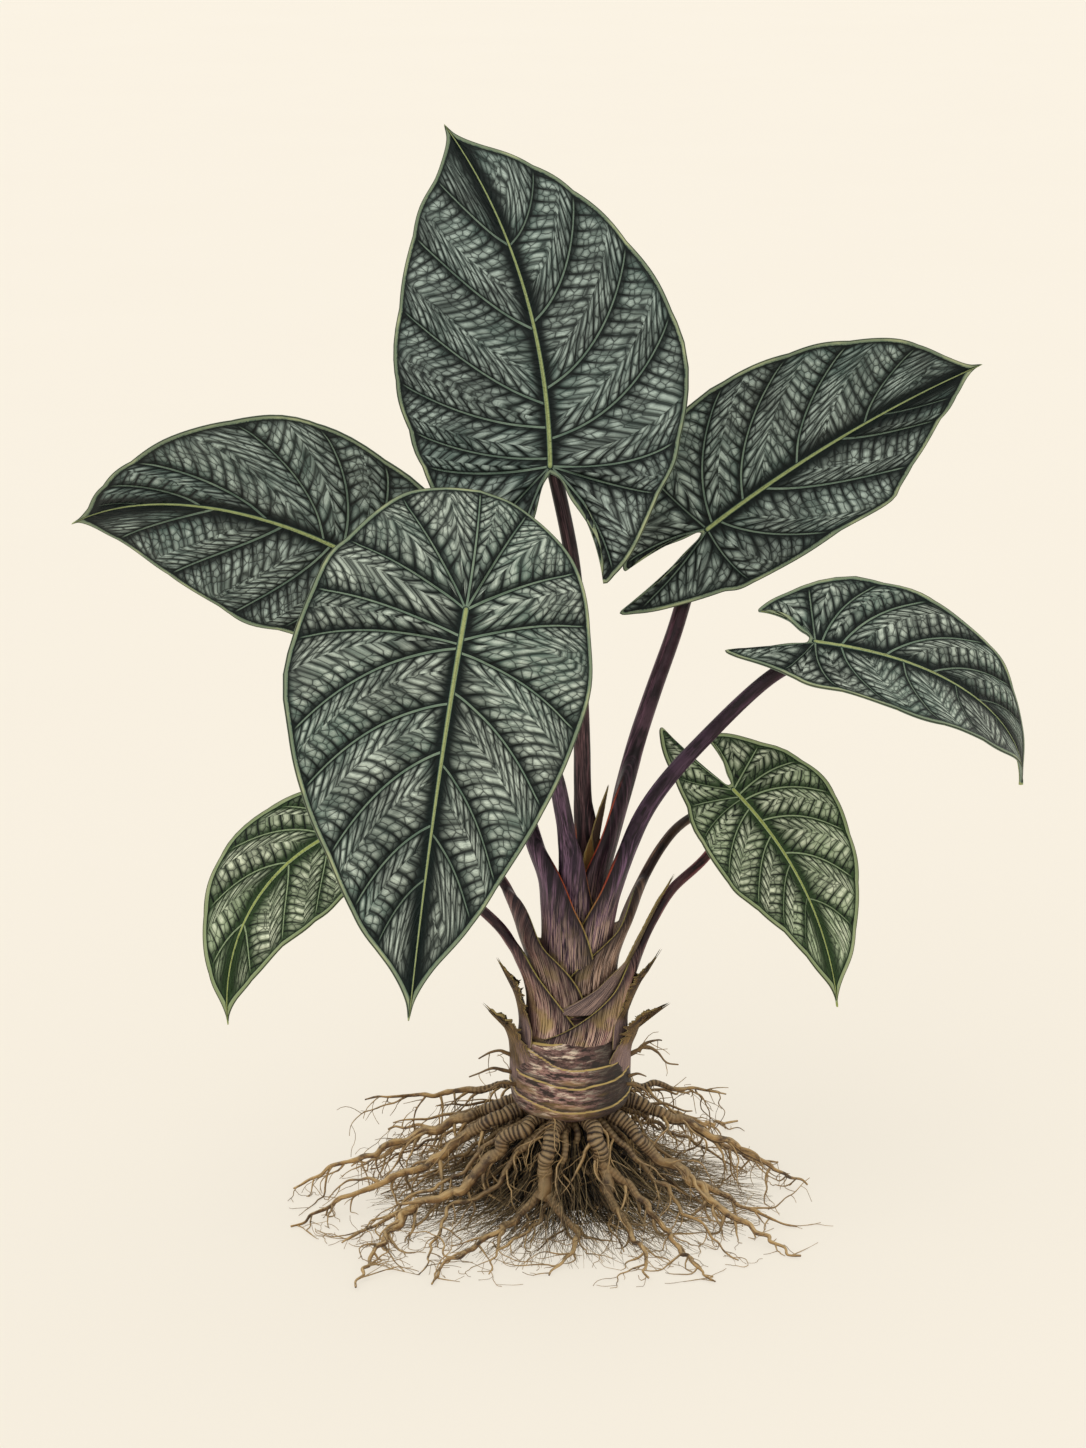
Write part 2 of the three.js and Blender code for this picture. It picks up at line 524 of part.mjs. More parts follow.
// Sheath and stalk of a leaf; the wing that reaches round the front ends higher than the one behind
function stalk(leaf, grow) {
  const angle = degrees(leaf.side);
  const low = leaf.base - SHEATH_FOOT;
  const shift = BUNDLE_SHIFT * smooth(low, 76, 96);
  const foot = [shift + leaf.hug * Math.cos(angle), leaf.hug * Math.sin(angle), low - grow];
  const rib = midrib(leaf);
  const end = rib.pointAt(STALK_END[0]).addScaledVector(rib.frameAt(0).n, STALK_END[1]).toArray();
  const shape = (reach, length) => {
    const s = Math.max(0, reach - grow);
    const share = s / leaf.sheath;
    const hug = leaf.hug + Math.min(BUNDLE_SPREAD * Math.max(0, s + low - 100), BUNDLE_MOST);
    const wrap = hug * degrees(leaf.wrap);
    const thick = smooth(share, 0.3, 1);
    const rest = Math.max(0, (s - 0.8 * leaf.sheath) / (length - 0.8 * leaf.sheath));
    const stem = THREE.MathUtils.lerp(leaf.radius[0], leaf.radius[1], 1 - Math.pow(1 - rest, 2));
    const wing = (part) => {
      const open = Math.max(0, 1 - Math.pow(part * share, leaf.taper));
      return stem + (wrap - stem) * Math.pow(open, 1.1) + grow;
    };
    const wings = [wing(1), wing(FAR_WING_END)];
    const curl = THREE.MathUtils.lerp(hug, CURL_PER_STALK * stem, smooth(share, 0.55, 1));
    return {
      wings: Math.cos(angle) > 0 ? wings : wings.reverse(),
      b: SHEATH_HALF_THICKNESS + (stem - SHEATH_HALF_THICKNESS) * thick + grow,
      curve: (1 - smooth(share, 0.92, 1.15)) / curl,
      round: thick,
      level: 1 - smooth(share, 0.6, 1.05),
    };
  };
  return sweptStrip([foot, ...leaf.stalk, end], leaf.side, shape, STALK_STATIONS, 1.35);
}

// Pointed bract or old sheath
function scale(item, grow) {
  const reach = [0];
  for (let k = 1; k < item.path.length; k++) {
    reach.push(reach[k - 1] + vector(item.path[k]).distanceTo(vector(item.path[k - 1])));
  }
  const total = reach[reach.length - 1];
  const at = (values, share) => {
    let k = 0;
    while (k < reach.length - 2 && share * total > reach[k + 1]) k++;
    return THREE.MathUtils.mapLinear(share * total, reach[k], reach[k + 1], values[k], values[k + 1]);
  };
  const shape = (s, length) => {
    const half = at(item.widths, s / length) + grow;
    return {
      wings: [half, half],
      b: item.thick * (1 - 0.5 * (s / length)) + grow,
      curve: 1 / at(item.rolls, s / length),
      round: 0,
      level: 1 - 0.6 * (s / length),
    };
  };
  return sweptStrip(item.path, item.side, shape, SCALE_STATIONS, 1);
}

// Solid turned from radius and height pairs, grown where a gap is cut
function turned(profile, sides, grow) {
  const rings = profile.map(([radius, height], i) => {
    const shift = i === 0 ? -grow : i === profile.length - 1 ? grow : 0;
    const ring = [];
    for (let k = 0; k < sides; k++) {
      const turn = (2 * Math.PI * k) / sides;
      ring.push([(radius + grow) * Math.cos(turn), (radius + grow) * Math.sin(turn), height + shift]);
    }
    return ring;
  });
  return loft(rings, false);
}

// Round tube along a path, narrowing from the first radius to the last
function tube(path, radii, stations, sides, grow, swell) {
  const { points } = spaced(path, stations);
  const rings = points.map((p, i) => {
    const before = vector(points[Math.max(i - 1, 0)]);
    const along = vector(points[Math.min(i + 1, points.length - 1)]).sub(before).normalize();
    const flat = new THREE.Vector3(-along.y, along.x, 0).normalize();
    const rise = new THREE.Vector3().crossVectors(along, flat);
    const share = i / (stations - 1);
    const radius = THREE.MathUtils.lerp(radii[0], radii[1], share) * (1 + swell * (i % 2)) + grow;
    const ring = [];
    for (let k = 0; k < sides; k++) {
      const turn = (2 * Math.PI * k) / sides;
      const [c, s] = [radius * Math.cos(turn), radius * Math.sin(turn)];
      ring.push(vector(p).addScaledVector(flat, c).addScaledVector(rise, s).toArray());
    }
    return ring;
  });
  return loft(rings, false);
}

// Largest connected body of a solid, without the slivers that cutting leaves
function largest(solid, sliver) {
  const bodies = solid.simplify(sliver).decompose();
  return bodies.reduce((best, body) => (body.volume() > best.volume() ? body : best));
}

// Everything below the ground, used to cut pieces flat
const ground = wasm.Manifold.cube([400, 400, 40]).translate([-200, -200, -40]);

// Room kept for the blade at the end of its stalk: all above the keel, from just behind the joint
function bladeRoom(leaf) {
  const rib = midrib(leaf);
  const { b, t, n } = rib.frameAt(0);
  const low = BLADE_THICKNESS + RIB_DEPTH + GAP;
  const back = Math.min(leaf.back, ROOM_BACK) + GAP;
  const room = wasm.Manifold.cube(ROOM_SIZE).translate([-ROOM_SIZE[0] / 2, -back, -low]);
  const at = rib.pointAt(0);
  return room.transform([b.x, b.y, b.z, 0, t.x, t.y, t.z, 0, n.x, n.y, n.z, 0, at.x, at.y, at.z, 1]);
}

function root(item, grow) {
  let solid = tube(item.path, item.radius, 2 * item.path.length, ROOT_SIDES, grow, 0.06);
  for (const fork of item.forks) {
    solid = solid.add(tube(fork.path, fork.radius, 2 * fork.path.length - 1, ROOT_SIDES - 1, grow, 0.05));
  }
  return solid.subtract(ground);
}

// Low mound of matted fine roots under the stem
function crownMat() {
  const draw = drawsFrom(SEED);
  let solid = turned(MAT_PROFILE, MAT_SIDES, 0);
  for (let k = 0; k < FINE_ROOTS; k++) {
    const turn = (2 * Math.PI * (k + 0.8 * draw())) / FINE_ROOTS;
    const reach = 40 + 16 * draw();
    const drift = 0.3 * (draw() - 0.5);
    const [from, bow, to] = [14, 30, reach].map((r, i) => {
      const a = turn + drift * i;
      return [r * Math.cos(a), r * Math.sin(a), [22 + 8 * draw(), 10 + 7 * draw(), -1][i]];
    });
    solid = solid.add(tube([from, bow, to], [1.1, 0.7], 5, 4, 0, 0));
  }
  return solid.subtract(ground);
}

function addNode(name, solid, color, roughness) {
  const mesh = solid.getMesh();
  const geometry = new THREE.BufferGeometry();
  geometry.setAttribute("position", new THREE.BufferAttribute(new Float32Array(mesh.vertProperties), 3));
  geometry.setIndex(new THREE.BufferAttribute(new Uint32Array(mesh.triVerts), 1));
  geometry.computeVertexNormals();
  const node = new THREE.Mesh(geometry, new THREE.MeshStandardMaterial({ color, roughness, metalness: 0 }));
  node.name = name;
  group.add(node);
}

// Stem, then each layer outward, cut clear of all that lies inside it
const stemGap = turned(STEM_PROFILE, STEM_SIDES, GAP);
addNode("stem", turned(STEM_PROFILE, STEM_SIDES, 0), STEM_BROWN, 0.75);
const inside = [stemGap];
for (const leaf of LEAVES) {
  let solid = stalk(leaf, 0).subtract(bladeRoom(leaf));
  for (const taken of inside) solid = solid.subtract(taken);
  addNode(`stalk_${leaf.name}`, largest(solid, SLIVER), leaf.radius[0] < 3 ? STALK_BROWN : STALK_PURPLE, 0.45);
  inside.push(stalk(leaf, 0), stalk(leaf, GAP));
  addNode(`blade_${leaf.name}`, blade(leaf), leaf.olive ? BLADE_OLIVE : BLADE_GREEN, 0.5);
}
for (const item of SCALES) {
  let solid = scale(item, 0);
  for (const taken of inside) solid = solid.subtract(taken);
  addNode(item.name, largest(solid, COARSE_SLIVER), SCALE_BROWN, 0.8);
  inside.push(scale(item, GAP));
}

// Roots, then the mat that fills in between them
const below = [stemGap];
ROOTS.forEach((item, i) => {
  let solid = root(item, 0);
  for (const taken of below) solid = solid.subtract(taken);
  addNode(`root_${i + 1}`, largest(solid, COARSE_SLIVER), ROOT_BROWN, 0.7);
  below.push(root(item, GAP));
});
let mat = crownMat();
for (const taken of below) mat = mat.subtract(taken);
addNode("crown_mat", largest(mat, COARSE_SLIVER), MAT_BROWN, 0.9);

export default group;
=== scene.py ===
# Bare-rooted alocasia chaii: a short ringed stem, nine leaves on sheathed stalks, dry bracts and its roots.
# Metres, +Z up, seen from -Y. Origin: on the stem's axis, in the surface that the roots stand on.
import math
import random

import bmesh
import bpy
from mathutils import Matrix, Vector, noise


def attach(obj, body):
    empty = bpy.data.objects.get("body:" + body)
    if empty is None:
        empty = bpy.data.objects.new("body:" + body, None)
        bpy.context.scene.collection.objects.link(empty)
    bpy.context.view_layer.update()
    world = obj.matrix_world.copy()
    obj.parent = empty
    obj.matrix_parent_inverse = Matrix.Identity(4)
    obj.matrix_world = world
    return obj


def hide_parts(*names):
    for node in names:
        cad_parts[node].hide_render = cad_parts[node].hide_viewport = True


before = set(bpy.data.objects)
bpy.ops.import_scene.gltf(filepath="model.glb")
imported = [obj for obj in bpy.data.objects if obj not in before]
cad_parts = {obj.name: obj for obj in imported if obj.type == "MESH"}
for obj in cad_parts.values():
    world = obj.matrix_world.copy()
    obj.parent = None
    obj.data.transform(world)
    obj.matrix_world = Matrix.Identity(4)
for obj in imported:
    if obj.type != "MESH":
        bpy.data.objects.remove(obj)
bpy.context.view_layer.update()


# Paper and light
# A plain sheet of warm white paper on a faintly glowing light table, in even daylight, with one broad soft light from
# the upper left. The camera looks slightly down on the plant, from about a metre and a half away.
CAMERA_TARGET = Vector((-0.012, 0.0, 0.219))
CAMERA_TILT = 16
CAMERA_DISTANCE = 1.465
CAMERA_LENS = 84.8
PAPER_RADIUS = 14.0
PAPER_GLOW = 0.64
DAYLIGHT = 0.85

# Strength of each light, its width, height and heading in degrees
LIGHTS = [("window", 0.78, 75, 52, 225), ("rear_window", 0.2, 80, 35, 40)]


def linear(code):
    """Linear colour with alpha from a six-digit colour code"""
    parts = [(code >> shift & 255) / 255 for shift in (16, 8, 0)]
    return tuple(v / 12.92 if v <= 0.04045 else ((v + 0.055) / 1.055) ** 2.4 for v in parts) + (1.0,)


class Finish:
    """Shader of one surface: most calls add one node and give back what comes out of it, coats are laid in turn"""

    def __init__(self, name):
        self.material = bpy.data.materials.new(name)
        self.material.use_nodes = True
        self.tree = self.material.node_tree
        self.shader = self.tree.nodes["Principled BSDF"]
        self.colour = None

    def node(self, kind, inputs, **settings):
        node = self.tree.nodes.new("ShaderNode" + kind)
        for key, value in settings.items():
            setattr(node, key, value)
        for key, value in inputs.items():
            self.put(node.inputs[key], value)
        return node

    def put(self, socket, value):
        if isinstance(value, bpy.types.NodeSocket):
            self.tree.links.new(value, socket)
        else:
            socket.default_value = value

    def sets(self, **inputs):
        for key, value in inputs.items():
            self.put(self.shader.inputs[key.replace("_", " ")], value)

    def maths(self, operation, a, b=0.0, c=0.0):
        return self.node("Math", {0: a, 1: b, 2: c}, operation=operation).outputs[0]

    def times(self, *amounts):
        product = amounts[0]
        for amount in amounts[1:]:
            product = self.maths("MULTIPLY", product, amount)
        return product

    def line(self, value, slope, start):
        return self.maths("MULTIPLY_ADD", value, slope, start)

    def size(self, value):
        return self.maths("ABSOLUTE", value)

    def most(self, a, b):
        return self.maths("MAXIMUM", a, b)

    def rise(self, value, low, high):
        """Smooth step from 0 at low to 1 at high, or falling where low is the larger"""
        sizes = {0: value, 1: low, 2: high, 3: 0.0, 4: 1.0}
        return self.node("MapRange", sizes, interpolation_type="SMOOTHSTEP").outputs[0]

    def blend(self, amount, a, b, how="MIX"):
        a, b = (linear(tone) if isinstance(tone, int) else tone for tone in (a, b))
        return self.node("Mix", {0: amount, 6: a, 7: b}, data_type="RGBA", blend_type=how).outputs[2]

    def coat(self, amount, tone, cover=1.0):
        """Lays a tone over what is painted so far; cover thins the whole coat"""
        self.colour = self.blend(amount if cover == 1.0 else self.times(amount, cover), self.colour, tone)

    def done(self, grain, rough_range, smoothest):
        """Puts the painted colour on the surface and makes it rougher along a grain"""
        self.sets(Base_Color=self.colour, Roughness=self.line(grain, rough_range, smoothest))

    def parts(self, name):
        """The three numbers that an attribute of the mesh holds at each point"""
        vector = self.node("Attribute", {}, attribute_name=name).outputs["Vector"]
        return self.node("SeparateXYZ", {0: vector}).outputs

    def joined(self, x, y, z=0.0):
        return self.node("CombineXYZ", {0: x, 1: y, 2: z}).outputs[0]

    def places(self):
        return self.node("TexCoord", {}).outputs["Object"]

    def noise(self, where, scale, detail=3.0, rough=0.55):
        sizes = {"Vector": where, "Scale": scale, "Detail": detail, "Roughness": rough}
        return self.node("TexNoise", sizes).outputs[0]

    def cells(self, where, feature, random_share=0.8):
        sizes = {"Vector": where, "Scale": 1.0, "Randomness": random_share}
        return self.node("TexVoronoi", sizes, feature=feature, voronoi_dimensions="2D").outputs["Distance"]

    def bump(self, height, distance, strength=1.0):
        sizes = {"Height": height, "Distance": distance, "Strength": strength}
        self.sets(Normal=self.node("Bump", sizes).outputs[0])


def piece(name, form, material):
    """Object made from the finished form"""
    for face in form.faces:
        face.smooth = True
    mesh = bpy.data.meshes.new(name)
    form.to_mesh(mesh)
    form.free()
    mesh.materials.append(material)
    thing = bpy.data.objects.new(name, mesh)
    bpy.context.scene.collection.objects.link(thing)
    return thing


paper = Finish("warm_paper")
paper_tone = paper.noise(paper.places(), 3.0, 4.0)
paper.sets(Base_Color=paper.blend(paper_tone, 0x8F8A81, 0x8C867C), Roughness=0.95,
           Emission_Color=linear(0xFDF6E8), Emission_Strength=PAPER_GLOW)
form = bmesh.new()
bmesh.ops.create_circle(form, cap_ends=True, radius=PAPER_RADIUS, segments=96)
floor = piece("paper", form, paper.material)

daylight = bpy.data.worlds.new("daylight")
daylight.use_nodes = True
sky = daylight.node_tree.nodes["Background"].inputs
sky["Color"].default_value = linear(0xFFFBF3)
sky["Strength"].default_value = DAYLIGHT
bpy.context.scene.world = daylight

for name, strength, width, height, heading in LIGHTS:
    light = bpy.data.lights.new(name, "SUN")
    light.energy = strength
    light.angle = math.radians(width)
    lamp = bpy.data.objects.new(name, light)
    lamp.rotation_euler = (math.radians(90 - height), 0.0, math.radians(heading + 90))
    bpy.context.scene.collection.objects.link(lamp)

lens = bpy.data.cameras.new("camera")
lens.lens = CAMERA_LENS
camera = bpy.data.objects.new("camera", lens)
tilt = math.radians(CAMERA_TILT)
camera.location = CAMERA_TARGET + CAMERA_DISTANCE * Vector((0.0, -math.cos(tilt), math.sin(tilt)))
camera.rotation_euler = (math.radians(90) - tilt, 0.0, 0.0)
bpy.context.scene.collection.objects.link(camera)
bpy.context.scene.camera = camera
bpy.context.scene.view_settings.view_transform = "Standard"


# Stem
# The short upright stem is a firm corm, mauve-brown and faintly ringed. Each fallen leaf left a scar round it, where
# the foot of its sheath ends in a thin yellow lip; the higher lips slant and cross at the front.
MM = 0.001

# Radius and height of the stem's side in mm, from its foot up
STEM_PROFILE = [(12, 40.5), (19, 43), (24, 47), (25.6, 52), (25.7, 57), (25.6, 62), (25.2, 68), (24.6, 73),
                (23.6, 77), (21.4, 80), (19.4, 84), (17.6, 90), (15.8, 96), (14, 102), (12, 107), (10, 111),
                (8, 115), (6.3, 119), (4.4, 123), (2, 126)]
STEM_COLUMNS = 240
STEM_ROWS = 150

# Step and bead at each lip, how worn and how finely rough the stem is, and the heights between which these set in
LIP_STEP = 0.55
LIP_BEAD = 0.35
WORN = 0.55
FINE_ROUGH = 0.16
STEM_FOOT = (41, 47)

# Height of each lip at the left, the front left, the front, the front right, the right and the back, lowest first
LIPS = [
    (56.5, 53.5, 50.0, 50.5, 54.0, 55.0),
    (66.0, 64.0, 61.5, 62.0, 65.0, 66.0),
    (81.0, 75.5, 69.5, 69.0, 73.0, 77.0),
    (77.0, 78.5, 80.8, 82.5, 88.0, 84.0),
    (99.0, 91.5, 82.6, 78.5, 79.0, 89.0),
    (78.5, 82.0, 90.5, 99.0, 108.0, 92.0),
]
LIP_ANGLES = (180, 225, 270, 315, 360, 450)


def smooth(x, low, high):
    t = min(max((x - low) / (high - low), 0.0), 1.0)
    return t * t * (3 - 2 * t)


def through(points, q):
    """Smooth curve through listed points, q from 0 to the last point's number"""
    last = len(points) - 1
    i = min(int(max(q, 0)), last - 1)
    f = min(max(q - i, 0.0), 1.0)
    p1, p2 = points[i], points[i + 1]
    p0 = points[i - 1] if i > 0 else 2 * p1 - p2
    p3 = points[i + 2] if i + 2 <= last else 2 * p2 - p1
    return 0.5 * (2 * p1 + (p2 - p0) * f + (2 * p0 - 5 * p1 + 4 * p2 - p3) * f * f
                  + (3 * p1 - p0 - 3 * p2 + p3) * f * f * f)


class Way:
    """Smooth way through points, asked for by the share of its length"""

    def __init__(self, points, fineness=32):
        points = [Vector(p) for p in points]
        steps = fineness * (len(points) - 1)
        self.fine = [through(points, k * (len(points) - 1) / steps) for k in range(steps + 1)]
        self.reach = [0.0]
        for before, after in zip(self.fine, self.fine[1:]):
            self.reach.append(self.reach[-1] + (after - before).length)
        self.length = self.reach[-1]

    def at(self, share):
        goal = self.length * min(max(share, 0.0), 1.0)
        low, high = 0, len(self.reach) - 1
        while high - low > 1:
            middle = (low + high) // 2
            low, high = (middle, high) if self.reach[middle] < goal else (low, middle)
        f = (goal - self.reach[low]) / max(self.reach[high] - self.reach[low], 1e-9)
        return self.fine[low].lerp(self.fine[high], f)

    def ahead(self, share):
        return (self.at(share + 0.01) - self.at(share - 0.01)).normalized()


def rolled(form, columns, rows, marks, place):
    """Adds a sheet of faces rolled up until its first and last columns meet; place gives a point in mm and its marks"""
    known = form.verts.layers.float_vector
    layers = [known.get(mark) or known.new(mark) for mark in marks]
    sheet = bmesh.ops.create_grid(form, x_segments=columns, y_segments=rows, size=1.0)["verts"]
    for vert in sheet:
        column = round((vert.co.x + 1) / 2 * columns)
        row = round((vert.co.y + 1) / 2 * rows)
        point, *values = place(column % columns, row)
        vert.co = point * MM
        for layer, value in zip(layers, values):
            vert[layer] = value
    faces = {face for vert in sheet for face in vert.link_faces}
    bmesh.ops.remove_doubles(form, verts=sheet, dist=0.01 * MM)
    bmesh.ops.recalc_face_normals(form, faces=[face for face in faces if face.is_valid])
    return form


def lip_height(lip, turn):
    """Height of a lip at a turn in degrees, eased between its listed heights"""
    turn = (turn - 180) % 360 + 180
    ends = [*zip(LIP_ANGLES, lip), (540, lip[0])]
    for (before, low), (after, high) in zip(ends, ends[1:]):
        if turn <= after:
            f = smooth(turn, before, after) * 0.5 + 0.5 * (turn - before) / (after - before)
            return low + (high - low) * f


def stem_form():
    profile = Way([(radius, height, 0) for radius, height in STEM_PROFILE])

    def place(column, row):
        radius, height, _ = profile.at((row - 1) / (STEM_ROWS - 2))
        turn = 360 * column / STEM_COLUMNS
        angle = math.radians(turn)
        covered, above, nearest, top = 0.0, 99.0, 99.0, -99.0
        for lip in LIPS:
            edge = lip_height(lip, turn) + 0.5 * noise.noise(Vector((4 * math.cos(angle), 4 * math.sin(angle), lip[0])))
            if edge > top:
                covered += smooth(height, edge + 0.25, edge - 0.25)
                nearest = min(nearest, abs(height - edge))
                if height > edge:
                    above = min(above, height - edge)
                top = edge
        worn = noise.noise(Vector((2.2 * math.cos(angle), 2.2 * math.sin(angle), height / 9)))
        fine = noise.noise(Vector((7 * math.cos(angle), 7 * math.sin(angle), height / 1.6)))
        step = LIP_STEP * (covered - 2.5) * smooth(height, 100, 88)
        radius += WORN * worn + FINE_ROUGH * fine
        radius += (step + LIP_BEAD * smooth(nearest, 0.9, 0.2)) * smooth(height, *STEM_FOOT)
        if row in (0, STEM_ROWS):
            radius = 0.0
        point = Vector((radius * math.cos(angle), radius * math.sin(angle), height))
        return point, (nearest, above, height)

    return rolled(bmesh.new(), STEM_COLUMNS, STEM_ROWS, ("lips",), place)


bark = Finish("stem_bark")
lip, shade, height = bark.parts("lips")
flat_places = bark.node("Mapping", {"Vector": bark.places(), "Scale": (1.0, 1.0, 4.2)}).outputs[0]
thin_places = bark.node("Mapping", {"Vector": bark.places(), "Scale": (1.0, 1.0, 9.0)}).outputs[0]
flaky = bark.noise(flat_places, 105.0, 5.0, 0.68)
blotch = bark.noise(flat_places, 24.0, 3.0)
hair = bark.noise(thin_places, 160.0, 4.0, 0.7)
x, y, z = bark.node("SeparateXYZ", {0: bark.places()}).outputs
bark.colour = bark.blend(bark.rise(blotch, 0.36, 0.62), 0x6A4B45, 0xA88078)
bark.coat(bark.rise(flaky, 0.52, 0.62), 0xF0DCC6, 0.95)
bark.coat(bark.rise(flaky, 0.5, 0.42), 0x1E110B, 0.95)
bark.coat(bark.rise(hair, 0.49, 0.6), 0x22130D, 0.8)
bark.coat(bark.rise(blotch, 0.55, 0.68), 0x9C7D48, 0.65)
# Painted shade: darker down the right side of the stem and a little darker along its left edge
bark.coat(bark.rise(bark.line(flaky, 0.03, x), 0.016, 0.034), 0x1C110A, 0.9)
bark.coat(bark.rise(bark.line(flaky, -0.02, x), -0.022, -0.038), 0x33231F, 0.6)
bark.coat(bark.rise(shade, 2.8, 0.2), 0x160D06, 0.9)
bark.coat(bark.rise(lip, 0.5, 0.2), 0xC2A866)
bark.coat(bark.rise(height, 52.0, 43.0), 0x33251D, 0.6)
bark.done(flaky, 0.3, 0.5)
bark.bump(bark.line(hair, 0.5, flaky), 0.0009, 0.8)
stem = piece("stem_with_scars", stem_form(), bark.material)
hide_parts("stem")
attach(stem, "root")


# Leaf stalks
# Nine fleshy stalks, dark purple and finely streaked. Each begins as a thin sheath that wraps the stem, one inside the
# other, narrows above its coloured edges into a round stalk, and runs into the midrib under its own blade.
VIEW_TILT = math.radians(16)
STALK_RINGS = 110
STRIP_COLUMNS = 36
SHEATH_HALF_THICKNESS = 0.72

# Shift of the inner sheaths to the right in mm, how many times sooner a sheath's far wing ends than its near one,
# and where the stalk runs into the midrib, ahead of the joint and below the blade in mm
BUNDLE_SHIFT = 2.7
FAR_WING_END = 1.9
STALK_END = (7, 1.9)

